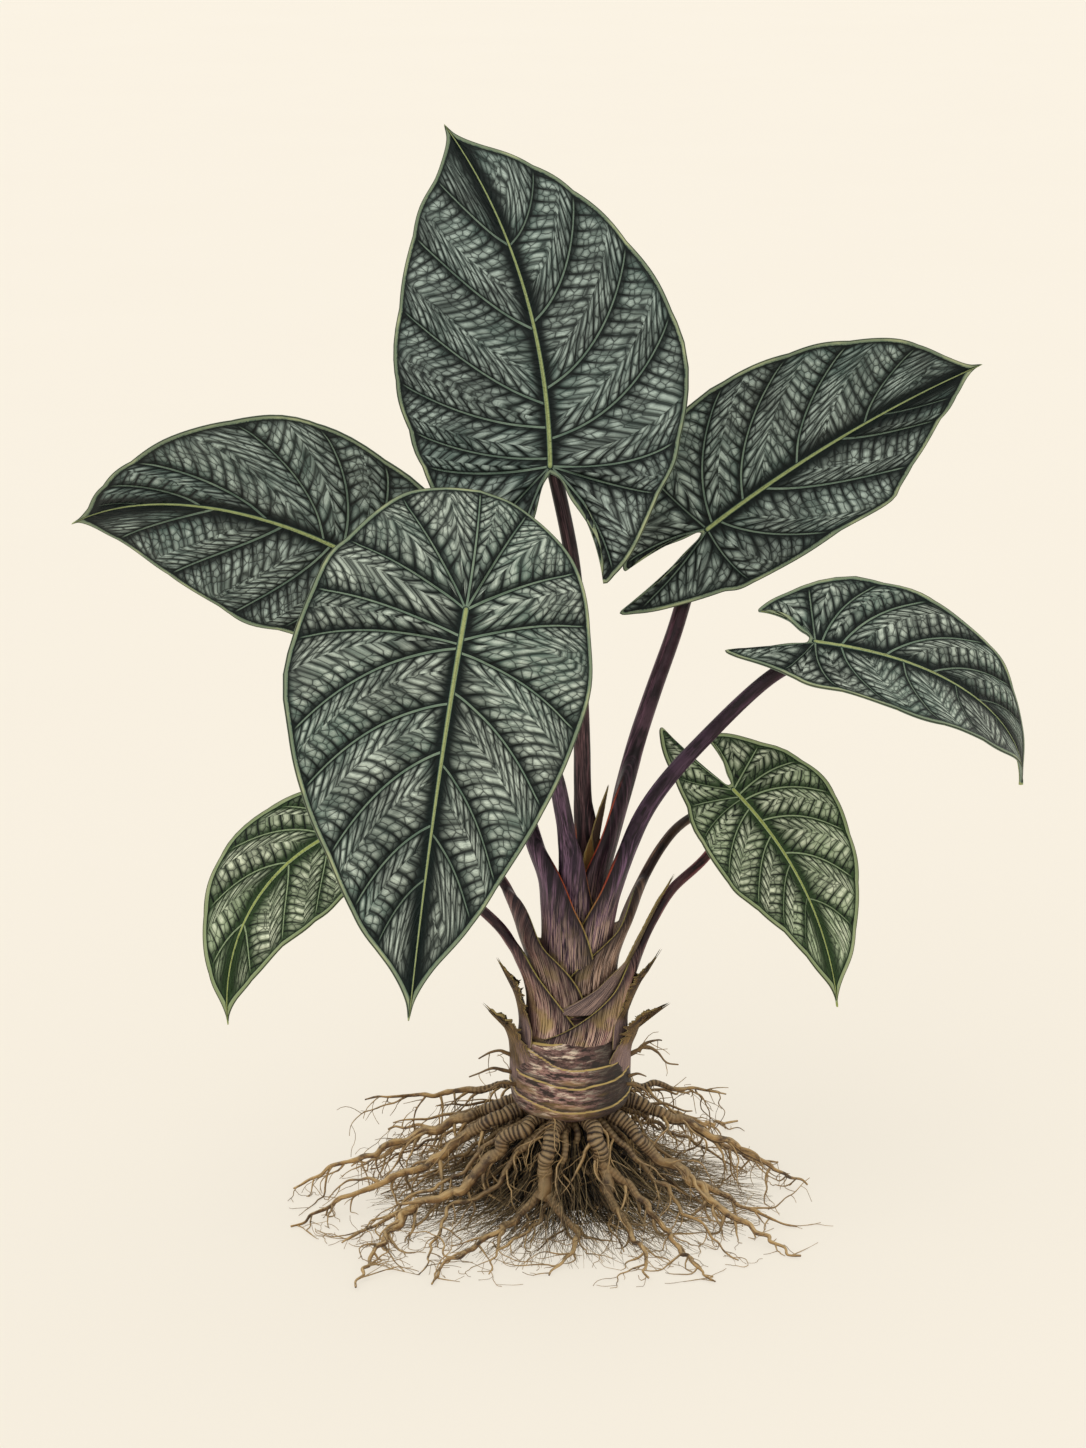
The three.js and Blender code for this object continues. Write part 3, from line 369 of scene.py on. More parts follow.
# Innermost first, in mm and degrees. Pairs give the left and the right half, seen from above with the tip ahead.
# Blade: its joint with the stalk, how it points, its outline and how it bends, droops and folds.
# Sheath: the side it stands on, how near the stem's axis, its lowest point, how far round and how far up it wraps.
# Side veins: each one's share of the way round the margin, its share of the way up the midrib and its strength.
LEAVES = [
    dict(name="top", joint=(-9, 8, 330), azimuth=91, elevation=62, roll=-4, length=171, half_width=(62, 61),
         lobe=(75, 51), lobe_x=(17, 22), back=3, bend=12, sweep=-32, droop=10, fold=(2, 3), widest=(0.25, 0.22),
         fullness=(2.0, 1.7),
         side=90, hug=9.5, base=122, wrap=80, sheath=62, taper=1.2, radius=(4.0, 3.1),
         veins=([(0.18, 0, 0.8), (0.33, 0, 0.7), (0.46, 0, 1), (0.52, 0.02, 1), (0.6, 0.1, 1), (0.72, 0.16, 1),
                (0.83, 0.36, 1), (0.92, 0.6, 0.9)], [(0.2, 0, 0.9), (0.33, 0, 0.8), (0.41, 0, 1),
                (0.57, 0.07, 1), (0.68, 0.2, 1), (0.78, 0.38, 1), (0.85, 0.6, 0.8)]),
         stalk=((7, 9, 140), (6, 6, 164), (5.1, 7, 191), (4.9, 8, 207), (4, 8, 232), (1, 8, 285))),
    dict(name="upper_right", joint=(59, 34, 297), azimuth=19, elevation=34, roll=15, length=153,
         half_width=(50, 35),
         lobe=(40, 52), lobe_x=(8, 6), back=3, bend=19, sweep=18, droop=2, fold=(6, 9), widest=(0.18, 0.47),
         fullness=(2.0, 1.4),
         side=20, hug=11, base=118, wrap=125, sheath=88, taper=2.0, radius=(4.2, 3.3),
         veins=([(0.16, 0, 0.9), (0.32, 0, 0.8), (0.51, 0.02, 1), (0.62, 0.13, 1), (0.73, 0.32, 1),
                (0.86, 0.56, 0.9)], [(0.21, 0, 0.8), (0.41, 0, 0.8), (0.59, 0.04, 0.9), (0.77, 0.2, 1),
                (0.87, 0.47, 0.9), (0.92, 0.62, 0.6)]),
         stalk=((13.5, 4.5, 135), (15, 6, 148), (18, 8, 164), (22, 10, 183.5), (28.4, 15, 206), (36, 20, 228.5),
                (45, 29, 252), (54, 38, 279))),
    dict(name="front", joint=(-43, -78, 289), azimuth=256, elevation=-51, roll=-13, length=171,
         half_width=(57, 67),
         closed=(0.5, 1.4), back=62, bend=5, sweep=-5, droop=26, fold=(-4, -5), widest=(0.11, 0.22),
         fullness=(1.7, 1.7),
         side=250, hug=12.5, base=114, wrap=68, sheath=62, taper=1.2, radius=(4.0, 3.0),
         veins=([(0.08, 0, 0.9), (0.21, 0, 1), (0.3, 0.08, 1), (0.48, 0.11, 1), (0.62, 0.21, 1),
                (0.76, 0.39, 0.9), (0.83, 0.56, 0.8)], [(0.13, 0, 0.9), (0.25, 0, 0.9), (0.35, 0.07, 1),
                (0.43, 0.09, 0.9), (0.57, 0.1, 1), (0.65, 0.24, 1), (0.75, 0.36, 1), (0.83, 0.54, 0.9),
                (0.89, 0.67, 0.7)]),
         stalk=((-1.6, -11.8, 130), (-1.6, -13, 149), (-1.2, -15, 168), (-3.9, -24, 189), (-8, -36, 210),
                (-20, -57, 250))),
    dict(name="right", joint=(103, -14, 259), azimuth=356, elevation=-7, roll=-42, length=137,
         half_width=(37, 36),
         lobe=(25, 37), lobe_x=(14, 8), back=3, bend=84, sweep=-3, droop=14, fold=(10, 12), widest=(0.13, 0.32),
         fullness=(2.3, 1.6),
         side=340, hug=14, base=110, wrap=115, sheath=66, taper=0.8, radius=(4.0, 3.0),
         veins=([(0.13, 0, 0.8), (0.26, 0, 0.8), (0.42, 0.02, 0.9), (0.53, 0.08, 1), (0.68, 0.22, 1),
                (0.79, 0.38, 0.9), (0.87, 0.57, 0.6)], [(0.13, 0, 0.9), (0.29, 0, 0.6), (0.41, 0, 0.8),
                (0.51, 0.08, 0.9), (0.6, 0.28, 0.8), (0.7, 0.47, 0.6), (0.83, 0.66, 0.5)]),
         stalk=((16.5, -5.2, 120), (18, -6, 132), (20, -7, 145), (25.5, -9, 168), (35.6, -10, 189),
                (53.7, -11, 212), (84, -13, 243))),
    dict(name="left", joint=(-78, -12, 288), azimuth=163, elevation=28, roll=-33, length=179,
         half_width=(48, 54),
         lobe=(57, 56), lobe_x=(18, 17), back=3, bend=22, sweep=-60, droop=12, fold=(5, 5), widest=(0.37, 0.22),
         fullness=(1.6, 1.3),
         side=190, hug=15.6, base=105, wrap=110, sheath=68, taper=1.5, radius=(4.0, 2.8),
         veins=([(0.18, 0, 0.8), (0.36, 0, 0.8), (0.53, 0.05, 0.9), (0.64, 0.15, 1), (0.78, 0.28, 1),
                (0.9, 0.47, 0.9)], [(0.18, 0, 0.8), (0.33, 0, 0.8), (0.44, 0.06, 0.9), (0.52, 0.12, 1),
                (0.63, 0.17, 1), (0.81, 0.32, 1), (0.88, 0.51, 0.9), (0.94, 0.71, 0.5)]),
         stalk=((-11.8, -3.5, 125), (-11.5, -5, 138), (-11.5, -7, 152), (-15.7, -8, 168), (-25, -7, 197),
                (-40, -7, 232), (-60, -8, 266))),
    dict(name="rear_right", joint=(68, 62, 168), azimuth=45, elevation=-28, roll=-90, length=85,
         half_width=(31, 30),
         lobe=(26, 27), lobe_x=(9, 9), back=3, bend=30, sweep=0, droop=8, fold=(5, 5), widest=(0.25, 0.25),
         fullness=(1.7, 1.7),
         side=25, hug=17, base=103, wrap=140, sheath=48, taper=1.3, radius=(2.4, 2.0),
         stalk=((18.8, 8, 112), (22, 10, 123), (27.4, 14, 135), (40, 27.5, 154), (52, 40, 163))),
    dict(name="rear_left", joint=(-62, 30, 175), azimuth=120, elevation=-20, roll=90, length=95,
         half_width=(34, 34),
         lobe=(28, 29), lobe_x=(10, 10), back=3, bend=35, sweep=0, droop=8, fold=(5, 5), widest=(0.25, 0.25),
         fullness=(1.7, 1.7),
         side=155, hug=18.5, base=94, wrap=130, sheath=52, taper=2.0, radius=(2.4, 2.0),
         stalk=((-15.5, 7.5, 104), (-17.8, 7.8, 117), (-21.6, 9, 129), (-26, 11, 137.5), (-31, 14, 145),
                (-46, 20, 163))),
    dict(name="lower_left", joint=(-97, -20, 178), azimuth=195, elevation=-18, roll=31, length=104,
         half_width=(31, 27),
         lobe=(33, 33), lobe_x=(11, 11), back=3, bend=38, sweep=-70, droop=12, fold=(5, 2), widest=(0.28, 0.31),
         fullness=(1.6, 1.5),
         side=197, hug=20, base=80, wrap=105, sheath=50, taper=0.8, radius=(2.4, 2.0),
         stalk=((-17.8, -5.5, 93), (-19, -6, 103), (-21.8, -6.5, 112), (-25.3, -7.5, 121), (-34.2, -10, 134),
                (-60, -14, 158), (-80, -17, 170))),
    dict(name="lower_right", joint=(71, 14, 185), azimuth=334, elevation=-40, roll=-29, length=107,
         half_width=(36, 34),
         lobe=(26, 41), lobe_x=(9, 5), back=3, bend=32, sweep=28, droop=-1, fold=(7, 8), widest=(0.2, 0.31),
         fullness=(1.6, 1.3),
         side=358, hug=21.5, base=79, wrap=156, sheath=43, taper=0.7, radius=(2.4, 2.0),
         veins=([(0.13, 0, 0.8), (0.29, 0, 0.9), (0.4, 0.03, 0.9), (0.5, 0.06, 0.9), (0.59, 0.17, 0.9),
                (0.7, 0.33, 0.9), (0.81, 0.54, 0.7)], [(0.15, 0, 0.8), (0.31, 0, 0.7), (0.39, 0.04, 0.8),
                (0.48, 0.05, 0.6), (0.6, 0.1, 0.8), (0.7, 0.24, 0.8), (0.78, 0.38, 0.7), (0.86, 0.53, 0.5)]),
         stalk=((23.6, -0.5, 84), (25, 0, 93), (27.7, 1, 107), (31.3, 2, 119), (37, 4, 130.5), (45, 8, 142),
                (60, 14, 155))),
]


class Midrib:
    """Bent midrib of a leaf with its frame, in mm along from the joint"""

    def __init__(self, leaf):
        to_viewer = Vector((0.0, -math.cos(VIEW_TILT), math.sin(VIEW_TILT)))
        azimuth, elevation, roll = (math.radians(leaf[key]) for key in ("azimuth", "elevation", "roll"))
        flat = math.cos(elevation)
        ahead = Vector((flat * math.cos(azimuth), flat * math.sin(azimuth), math.sin(elevation)))
        face = (to_viewer - to_viewer.dot(ahead) * ahead).normalized()
        up = face * math.cos(roll) + ahead.cross(face) * math.sin(roll)
        self.axes = ahead.cross(up), ahead, up
        self.leaf = leaf
        self.reach = leaf["back"] if "closed" in leaf else sum(leaf["lobe"]) / 2
        self.places = {0: Vector(leaf["joint"])}
        for way in (1, -1):
            place = self.places[0]
            for k in range(1, int(leaf["length"] if way > 0 else max(self.reach, *leaf.get("lobe", (0, 0)))) + 3):
                place = place + way * self.frame(way * (k - 0.5))[1]
                self.places[way * k] = place

    def world(self, across, ahead, up):
        return across * self.axes[0] + ahead * self.axes[1] + up * self.axes[2]

    def frame(self, y):
        """Directions across, along and up from the blade"""
        leaf = self.leaf
        if y > 0:
            pitch = math.radians(leaf["bend"]) * (y / leaf["length"]) ** 1.3
            yaw = math.radians(leaf["sweep"]) * y / leaf["length"]
        else:
            pitch = math.radians(leaf["droop"]) * y / self.reach
            yaw = 0.0
        along = self.world(math.sin(yaw) * math.cos(pitch), math.cos(yaw) * math.cos(pitch), -math.sin(pitch))
        across = self.world(math.cos(yaw), -math.sin(yaw), 0.0)
        return across, along, across.cross(along)

    def at(self, y):
        low = math.floor(y)
        return self.places[low].lerp(self.places[low + 1], y - low)


def bent_ring(q, wings, b, curve, roundness):
    """Point of an oval bent round the stem, q from 0 to 1 round it: across, outward and the share across"""
    turn, k = (1, 2 * q) if q < 0.5 else (-1, 2 * q - 1)
    even = 1 - 2 * k
    along = turn * (even + (math.cos(math.pi * k) - even) * roundness)
    thick = turn * b * math.sqrt(max(0.0, 1 - abs(along) ** (2 + 3 * (1 - roundness))))
    u = along * wings[0 if along > 0 else 1]
    if curve < 1e-4:
        return u, thick, along
    return (1 / curve + thick) * math.sin(u * curve), (1 / curve + thick) * math.cos(u * curve) - 1 / curve, along


def strip(points, side_degrees, shape, rings):
    """Sheath, stalk or bract along a way; shape gives both half widths, half thickness, curve, roundness, levelling"""
    way = Way(points)
    side = math.radians(side_degrees)
    reference = Vector((math.cos(side), math.sin(side), 0.0))
    cuts = []
    for row in range(rings + 1):
        share = min(max((row - 1) / (rings - 2), 0.0), 1.0)
        *section, level = shape(share * way.length, way.length)
        ahead = way.ahead(share).lerp(Vector((0.0, 0.0, 1.0)), level).normalized()
        outward = (reference - reference.dot(ahead) * ahead).normalized()
        cuts.append((way.at(share), outward, outward.cross(ahead), section, share))

    def place(column, row):
        centre, outward, sideways, (wings, b, curve, roundness), share = cuts[row]
        if row in (0, rings):
            wings, b = (0.0, 0.0), 0.0
        across, out, along = bent_ring(column / STRIP_COLUMNS, wings, b, curve, roundness)
        outer = 1.0 if column <= STRIP_COLUMNS / 2 else -1.0
        wing = wings[0 if along > 0 else 1]
        return centre + sideways * across + outward * out, (along, share * way.length, outer), (wing, roundness, share)

    return rolled(bmesh.new(), STRIP_COLUMNS, rings, ("strip", "girth"), place)


def stalk_form(leaf):
    angle = math.radians(leaf["side"])
    low = leaf["base"] - 2
    shift = BUNDLE_SHIFT * smooth(low, 76, 96)
    foot = Vector((shift + leaf["hug"] * math.cos(angle), leaf["hug"] * math.sin(angle), low))
    rib = Midrib(leaf)
    end = rib.at(STALK_END[0]) - STALK_END[1] * rib.frame(0)[2]

    def shape(s, length):
        share = s / leaf["sheath"]
        hug = leaf["hug"] + min(0.06 * max(0.0, s + low - 100), 2.0)
        wrap = hug * math.radians(leaf["wrap"])
        thick = smooth(share, 0.3, 1.0)
        narrowing = max(0.0, (s - 0.8 * leaf["sheath"]) / (length - 0.8 * leaf["sheath"]))
        stem = leaf["radius"][0] + (leaf["radius"][1] - leaf["radius"][0]) * (1 - (1 - narrowing) ** 2)
        stem *= 1 - 0.45 * smooth(s, length - 9, length)
        near, far = (stem + (wrap - stem) * max(0.0, 1 - (part * share) ** leaf["taper"]) ** 1.1
                     for part in (1.0, FAR_WING_END))
        b = SHEATH_HALF_THICKNESS + (stem - SHEATH_HALF_THICKNESS) * thick
        curl = hug + (1.6 * stem - hug) * smooth(share, 0.55, 1.0)
        curve = (1 - smooth(share, 0.92, 1.15)) / curl
        wings = (near, far) if math.cos(angle) > 0 else (far, near)
        return wings, b, curve, thick, 1 - smooth(share, 0.6, 1.05)

    return strip([foot, *leaf["stalk"], end], leaf["side"], shape, STALK_RINGS)


def stalk_finish(name, dark, light, edge, end):
    """Streaked skin of a stalk: dark and light streaks, the colour of the sheath's upper edges, and of the far end"""
    finish = Finish(name)
    across, along, _ = finish.parts("strip")
    width, roundness, share = finish.parts("girth")
    times, rise, coat = finish.times, finish.rise, finish.coat

    def streaks(wide, long, detail):
        place = finish.joined(times(across, width, wide), times(along, long))
        return finish.noise(place, 1.5, detail, 0.65)

    streak, fine, fibre = streaks(0.3, 0.02, 4.0), streaks(0.8, 0.035, 3.0), streaks(1.5, 0.05, 3.0)
    cloud = finish.noise(finish.places(), 60.0, 3.0)
    from_middle = finish.size(across)
    margin = times(finish.maths("SUBTRACT", 1.0, from_middle), width)
    rolled_in = finish.maths("DIVIDE", margin, finish.line(roundness, -0.85, 1.0))
    rim_tone = finish.blend(rise(along, 22.0, 46.0), 0xBEAA62, edge)
    beside_rim = finish.size(finish.maths("SUBTRACT", margin, 1.3))
    lit_side = finish.size(finish.maths("ADD", across, 0.1))

    finish.colour = finish.blend(rise(streak, 0.44, 0.7), dark, light)
    coat(rise(fine, 0.5, 0.7), light, 0.75)
    coat(times(rise(along, 50.0, 8.0), rise(fibre, 0.46, 0.6)), 0xDCBCA8, 0.9)
    coat(times(rise(along, 40.0, 4.0), rise(cloud, 0.5, 0.64)), 0xA48C50, 0.8)
    coat(rise(share, 0.45, 0.95), end, 0.8)
    coat(rise(fibre, 0.5, 0.38), 0x130A0F, 0.85)
    # Painted highlight down the middle of the stalk, and painted shade towards both its sides
    coat(times(rise(lit_side, 0.45, 0.0), rise(fibre, 0.4, 0.6)), light, 0.4)
    coat(rise(from_middle, 0.5, 0.95), 0x150B10, 0.7)
    coat(times(rise(rolled_in, 0.8, 0.45), rise(roundness, 0.95, 0.7)), rim_tone, 0.9)
    coat(times(rise(beside_rim, 0.8, 0.3), rise(roundness, 0.9, 0.5)), 0x1A1013, 0.6)
    finish.done(fine, 0.25, 0.3)
    finish.bump(finish.maths("ADD", fine, streak), 0.0004, 0.6)
    finish.sets(Specular_IOR_Level=0.25)
    return finish.material


# Dark and light streaks, upper edges and far end
STALK_TONES = {
    "top": (0x20141A, 0x866266, 0xB0502C, 0x1A0F14),
    "upper_right": (0x24121E, 0x8A6478, 0xB04A2A, 0x4A1A26),
    "front": (0x1A0D20, 0x8C6A88, 0xB4552E, 0x24141E),
    "right": (0x1E0E20, 0x7E5C7C, 0xA84A34, 0x3A1828),
    "left": (0x1A0D20, 0x86647F, 0xAE502C, 0x30202C),
    "rear_right": (0x3E2620, 0xA07A5E, 0x9AA05C, 0x5A4634),
    "rear_left": (0x3A2028, 0xA07672, 0x9A9A5A, 0x4A3A34),
    "lower_right": (0x3A1C26, 0xA87678, 0x9AA05C, 0x9A4A50),
    "lower_left": (0x381E28, 0xA07270, 0x9A9A5A, 0x5A3A40),
}
for leaf in LEAVES:
    skin = stalk_finish("stalk_skin_" + leaf["name"], *STALK_TONES[leaf["name"]])
    stalk = piece("stalk_of_" + leaf["name"], stalk_form(leaf), skin)
    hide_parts("stalk_" + leaf["name"])
    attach(stalk, "root")


# Blades
# Nine firm, leathery blades, shaped like arrowheads or shields. Each is one thin sheet, puffed up between the side
# veins that branch from its midrib, with a thicker pale rim; on its underside the veins stand out as ridges.
FULL_LENGTH = 171

# Sizes in mm on a blade of full length. Pairs: a side vein at the midrib and at the margin, the midrib at the joint
# and at the tip.
BLADE_THICKNESS = 0.8
QUILT_RISE = 1.15
MARGIN_WAVE = 1.0
PUFF_RISE = 0.1
RIM_WIDTH = 1.8
RIM_RISE = 0.22
SCALLOP = 0.8
CLOSED_SCALLOP = 0.16
VEIN_RADIUS = (0.5, 0.26)
RIB_RADIUS = (1.2, 0.3)
RIB_KEEL = (2.6, 0.5)
CROSS_VEIN_SPACING = 4.1

# How steeply a cross vein leans towards the tip beside a side vein, and how much more with each mm away from it
CROSS_VEIN_LEAN = (0.35, 0.035)

# Angle in radians that the margin's wave runs through from the joint to the tip
MARGIN_WAVE_ANGLE = 30.4

# Share of the way from one side vein to the next where the two rows of cross veins meet
PANEL_SPLIT = 0.38

LINE_TONE = 0x060D0B

# Points across the upper and the lower side of half a blade, and along it
TOP_COLUMNS = 52
UNDER_COLUMNS = 18
ROWS_PER_SPAN = 100


def margin_keys(leaf, half):
    """Outline of half a blade, from behind the joint round to the tip, as across and ahead in mm"""
    w = leaf["half_width"][half]
    back = leaf["back"]
    if "closed" in leaf:
        slim = leaf["closed"][half]
        keys = [(0, -back), ((0.27 - 0.02 * slim) * w, -(0.985 - 0.02 * slim) * back),
                ((0.52 - 0.05 * slim) * w, -(0.9 - 0.05 * slim) * back),
                ((0.73 - 0.08 * slim) * w, -(0.72 - 0.07 * slim) * back),
                ((0.88 - 0.08 * slim) * w, -(0.44 - 0.05 * slim) * back), ((0.965 - 0.05 * slim) * w, -0.1 * back)]
    else:
        x, y = leaf["lobe_x"][half], leaf["lobe"][half]
        keys = [(0, -back), (0.2 * x, -0.12 * y), (0.38 * x, -0.28 * y), (0.63 * x, -0.44 * y), (0.88 * x, -0.62 * y),
                (1.02 * x, -0.82 * y), (x, -y), (x + 0.14 * (w - x), -0.91 * y), (x + 0.29 * (w - x), -0.75 * y),
                (x + 0.46 * (w - x), -0.5 * y), (x + 0.65 * (w - x), -0.22 * y), (0.9 * w, 0.04 * leaf["length"])]
    start, full = leaf["widest"][half], leaf["fullness"][half]
    for t in (0, 0.2, 0.4, 0.58, 0.74, 0.86, 0.94, 1):
        rounded = (1 - t ** full) ** (1 + 0.5 * (2 - full)) * (1 - 0.55 * smooth(t, 0.78, 0.95))
        keys.append((w * rounded, leaf["length"] * (start + t * (1 - start))))
    return [Vector((x, y, 0.0)) for x, y in keys]


class HalfBlade:
    """Margin and side veins of half a blade; the span runs 0 to 1 in the fan at the joint, 1 to 2 up the midrib"""

    def __init__(self, leaf, half):
        self.leaf = leaf
        self.margin = Way(margin_keys(leaf, half))
        self.veins = [(0.0, 0.0, 1.0 if "closed" in leaf else 0.0), *self.side_veins(leaf, half), (1.0, 1.0, 0.0)]
        self.fan = max(i for i, vein in enumerate(self.veins) if vein[1] == 0)
        self.breaks = [i / self.fan for i in range(self.fan)] + [1 + vein[1] for vein in self.veins[self.fan:]]

    def side_veins(self, leaf, half):
        if "veins" in leaf:
            return leaf["veins"][half]
        spread = 0.4 if "closed" in leaf else 0.5
        shares = [k / 8 for k in range(1, 8)]
        return [(s, max(0.0, (s - spread) / (1 - spread)) ** 1.9, 0.9) for s in shares]

    def count(self, span):
        """Vein number at a span, whole on each vein"""
        i = max(k for k, low in enumerate(self.breaks[:-1]) if low <= span + 1e-9)
        return i + (span - self.breaks[i]) / (self.breaks[i + 1] - self.breaks[i])

    def vein(self, count):
        """Joint with the midrib, bow and margin end of the line at a vein number"""
        i = min(int(count), len(self.veins) - 2)
        f = count - i
        sigma, start = (self.veins[i][c] + (self.veins[i + 1][c] - self.veins[i][c]) * f for c in (0, 1))
        lobed = 0.0 if "closed" in self.leaf else 1 - smooth(sigma, 0.1, 0.45)
        end = self.margin.at(sigma)
        outward = self.margin.ahead(sigma).cross(Vector((0.0, 0.0, 1.0)))
        swell = CLOSED_SCALLOP if "closed" in self.leaf else SCALLOP
        swell *= math.sin(math.pi * f) * smooth(sigma, 0.05, 0.2) * smooth(sigma, 1.0, 0.85)
        end = end + outward * swell * self.leaf["length"] / FULL_LENGTH
        start *= self.leaf["length"]
        ahead = end.y - start
        arch = (1 - lobed) * (0.11 * abs(end.x) + 0.26 * max(ahead, 0.0)) + lobed * 0.5 * ahead
        out = 0.6 + 0.3 * lobed
        bow = Vector((out * end.x, start + out * ahead - arch, 0.0))
        return Vector((0.0, start, 0.0)), bow, end, sigma


def on_bow(line, t):
    return (1 - t) * (1 - t) * line[0] + 2 * t * (1 - t) * line[1] + t * t * line[2]


def along_bow(line, t):
    return ((1 - t) * (line[1] - line[0]) + t * (line[2] - line[1])).normalized()


def blade_rows(halves):
    """Spans of the rows of points: one row on every side vein, and rows close together beside it"""
    breaks = sorted({round(b, 5) for half in halves for b in half.breaks})
    rows = [0.0]
    for low, high in zip(breaks, breaks[1:]):
        steps = max(5, round((high - low) * ROWS_PER_SPAN))
        for k in range(1, steps + 1):
            even = k / steps
            rows.append(low + (high - low) * (0.4 * even + 0.3 - 0.3 * math.cos(math.pi * even)))
    return rows


def mixed(ends, share):
    return ends[0] + (ends[1] - ends[0]) * share


def column_shares(count):
    """Shares of the way from midrib to margin, closer together at both ends"""
    return [1 - (1 - (k / count) ** 1.3) ** 1.15 for k in range(count + 1)]


def blade_form(leaf):
    halves = [HalfBlade(leaf, 0), HalfBlade(leaf, 1)]
    rows = blade_rows(halves)
    rib = Midrib(leaf)
    length = leaf["length"]
    size = length / FULL_LENGTH
    spacing = CROSS_VEIN_SPACING * size ** 0.7
    top, under = column_shares(TOP_COLUMNS), column_shares(UNDER_COLUMNS)
    columns = ([(0, s, 1) for s in reversed(top[1:])] + [(1, s, 1) for s in top] + [(1, 1.0, 0.5)]
               + [(1, s, 0) for s in reversed(under)] + [(0, s, 0) for s in under[1:]] + [(0, 1.0, 0.5)])
    known = {}

    def described(half, row, share):
        """Flat place of a point with its distances from veins, midrib and margin"""
        key = half, row, share
        if key in known:
            return known[key]
        side = halves[half]
        count = side.count(rows[row])
        line = side.vein(count)
        sigma = line[3]
        tip = row == len(rows) - 1
        flat = Vector((0.0, length, 0.0)) if tip else on_bow(line, share)
        low = min(int(count + 1e-6), len(side.veins) - 2)
        nearest, strength, reach = 99.0, 0.0, 15.0
        for number, weight in ((low, 1.3), (low + 1, 0.8)):
            strong = side.veins[number][2]
            if strong > 0:
                other = side.vein(float(number))
                away = (flat - on_bow(other, share)).cross(along_bow(other, max(share, 0.02))).length
                reach = min(reach, away * weight)
                if away < nearest:
                    nearest, strength = away, strong
        edge = (flat - line[2]).cross(side.margin.ahead(sigma)).length if share > 0.5 else 50.0
        from_rib = math.hypot(flat.x, min(flat.y, 0.0))
        run = share * (0.6 * (line[1] - line[0]).length + 0.6 * (line[2] - line[1]).length)
        run = run * (0.6 + 0.4 * share) + 0.25 * line[0].y
        wobble = 0.22 * noise.noise(Vector((flat.x / 16, flat.y / 16, half + length)))
        chevron = (run - (CROSS_VEIN_LEAN[0] + CROSS_VEIN_LEAN[1] * reach) * reach) / spacing + wobble
        known[key] = flat, count, nearest, from_rib, edge, chevron, strength, sigma
        return known[key]

    def place(column, row):
        half, share, face = columns[column]
        flat, count, nearest, from_rib, edge, chevron, strength, sigma = described(half, row, share)
        part = count - int(count)
        panels = len(halves[half].veins) - 1
        ends = smooth(count, 0, 1) * (1 - smooth(count, panels - 1.4, panels))
        fade = smooth(share, 0.04, 0.25) * (1 - smooth(edge, 7, 1.5))
        quilt = QUILT_RISE * size * fade * (1 - 2 * abs(2 * part - 1) ** 2.6)
        wave = MARGIN_WAVE * size * share ** 3 * math.sin(MARGIN_WAVE_ANGLE * sigma + 2.3 * half + length)
        cross = abs((chevron + (0.5 if part > PANEL_SPLIT else 0.0)) % 1 - 0.5) * 2
        puff = -PUFF_RISE * size * cross ** 3 * smooth(nearest, 0.8, 3) * (1 - smooth(edge, 6, 3))
        rib_share = smooth(flat.y / length, -0.1, 1)
        vein_radius = mixed(VEIN_RADIUS, share) * max(strength, 0.3) * size ** 0.5
        rib_radius = mixed(RIB_RADIUS, rib_share) * size ** 0.5
        cord = math.sqrt(max(0.0, 1 - (nearest / (1.3 * vein_radius)) ** 2)) * strength * smooth(edge, 2, 4)
        ridge = math.sqrt(max(0.0, 1 - (from_rib / (1.2 * rib_radius)) ** 2))
        rim = RIM_RISE * smooth(edge, RIM_WIDTH + 0.8, RIM_WIDTH - 0.4)
        across, along, up = rib.frame(flat.y)
        fold = math.radians(leaf["fold"][half])
        sign = 1 if half else -1
        x = flat.x
        lift = x * math.sin(fold) + (quilt + wave + puff) * ends
        if face == 1:
            lift += 0.25 * cord + 0.5 * ridge + rim
        elif face == 0.5:
            x += 0.25
            lift -= 0.5 * BLADE_THICKNESS
        else:
            lift -= BLADE_THICKNESS + 0.6 * cord + mixed(RIB_KEEL, rib_share) * ridge * size ** 0.5
        point = rib.at(flat.y) + across * (sign * x * math.cos(fold)) + up * lift
        return (point, (nearest, from_rib, edge), (chevron, count, face),
                (nearest / vein_radius, from_rib / rib_radius, strength))

    return rolled(bmesh.new(), len(columns), len(rows) - 1, ("veins", "pattern", "cords"), place)


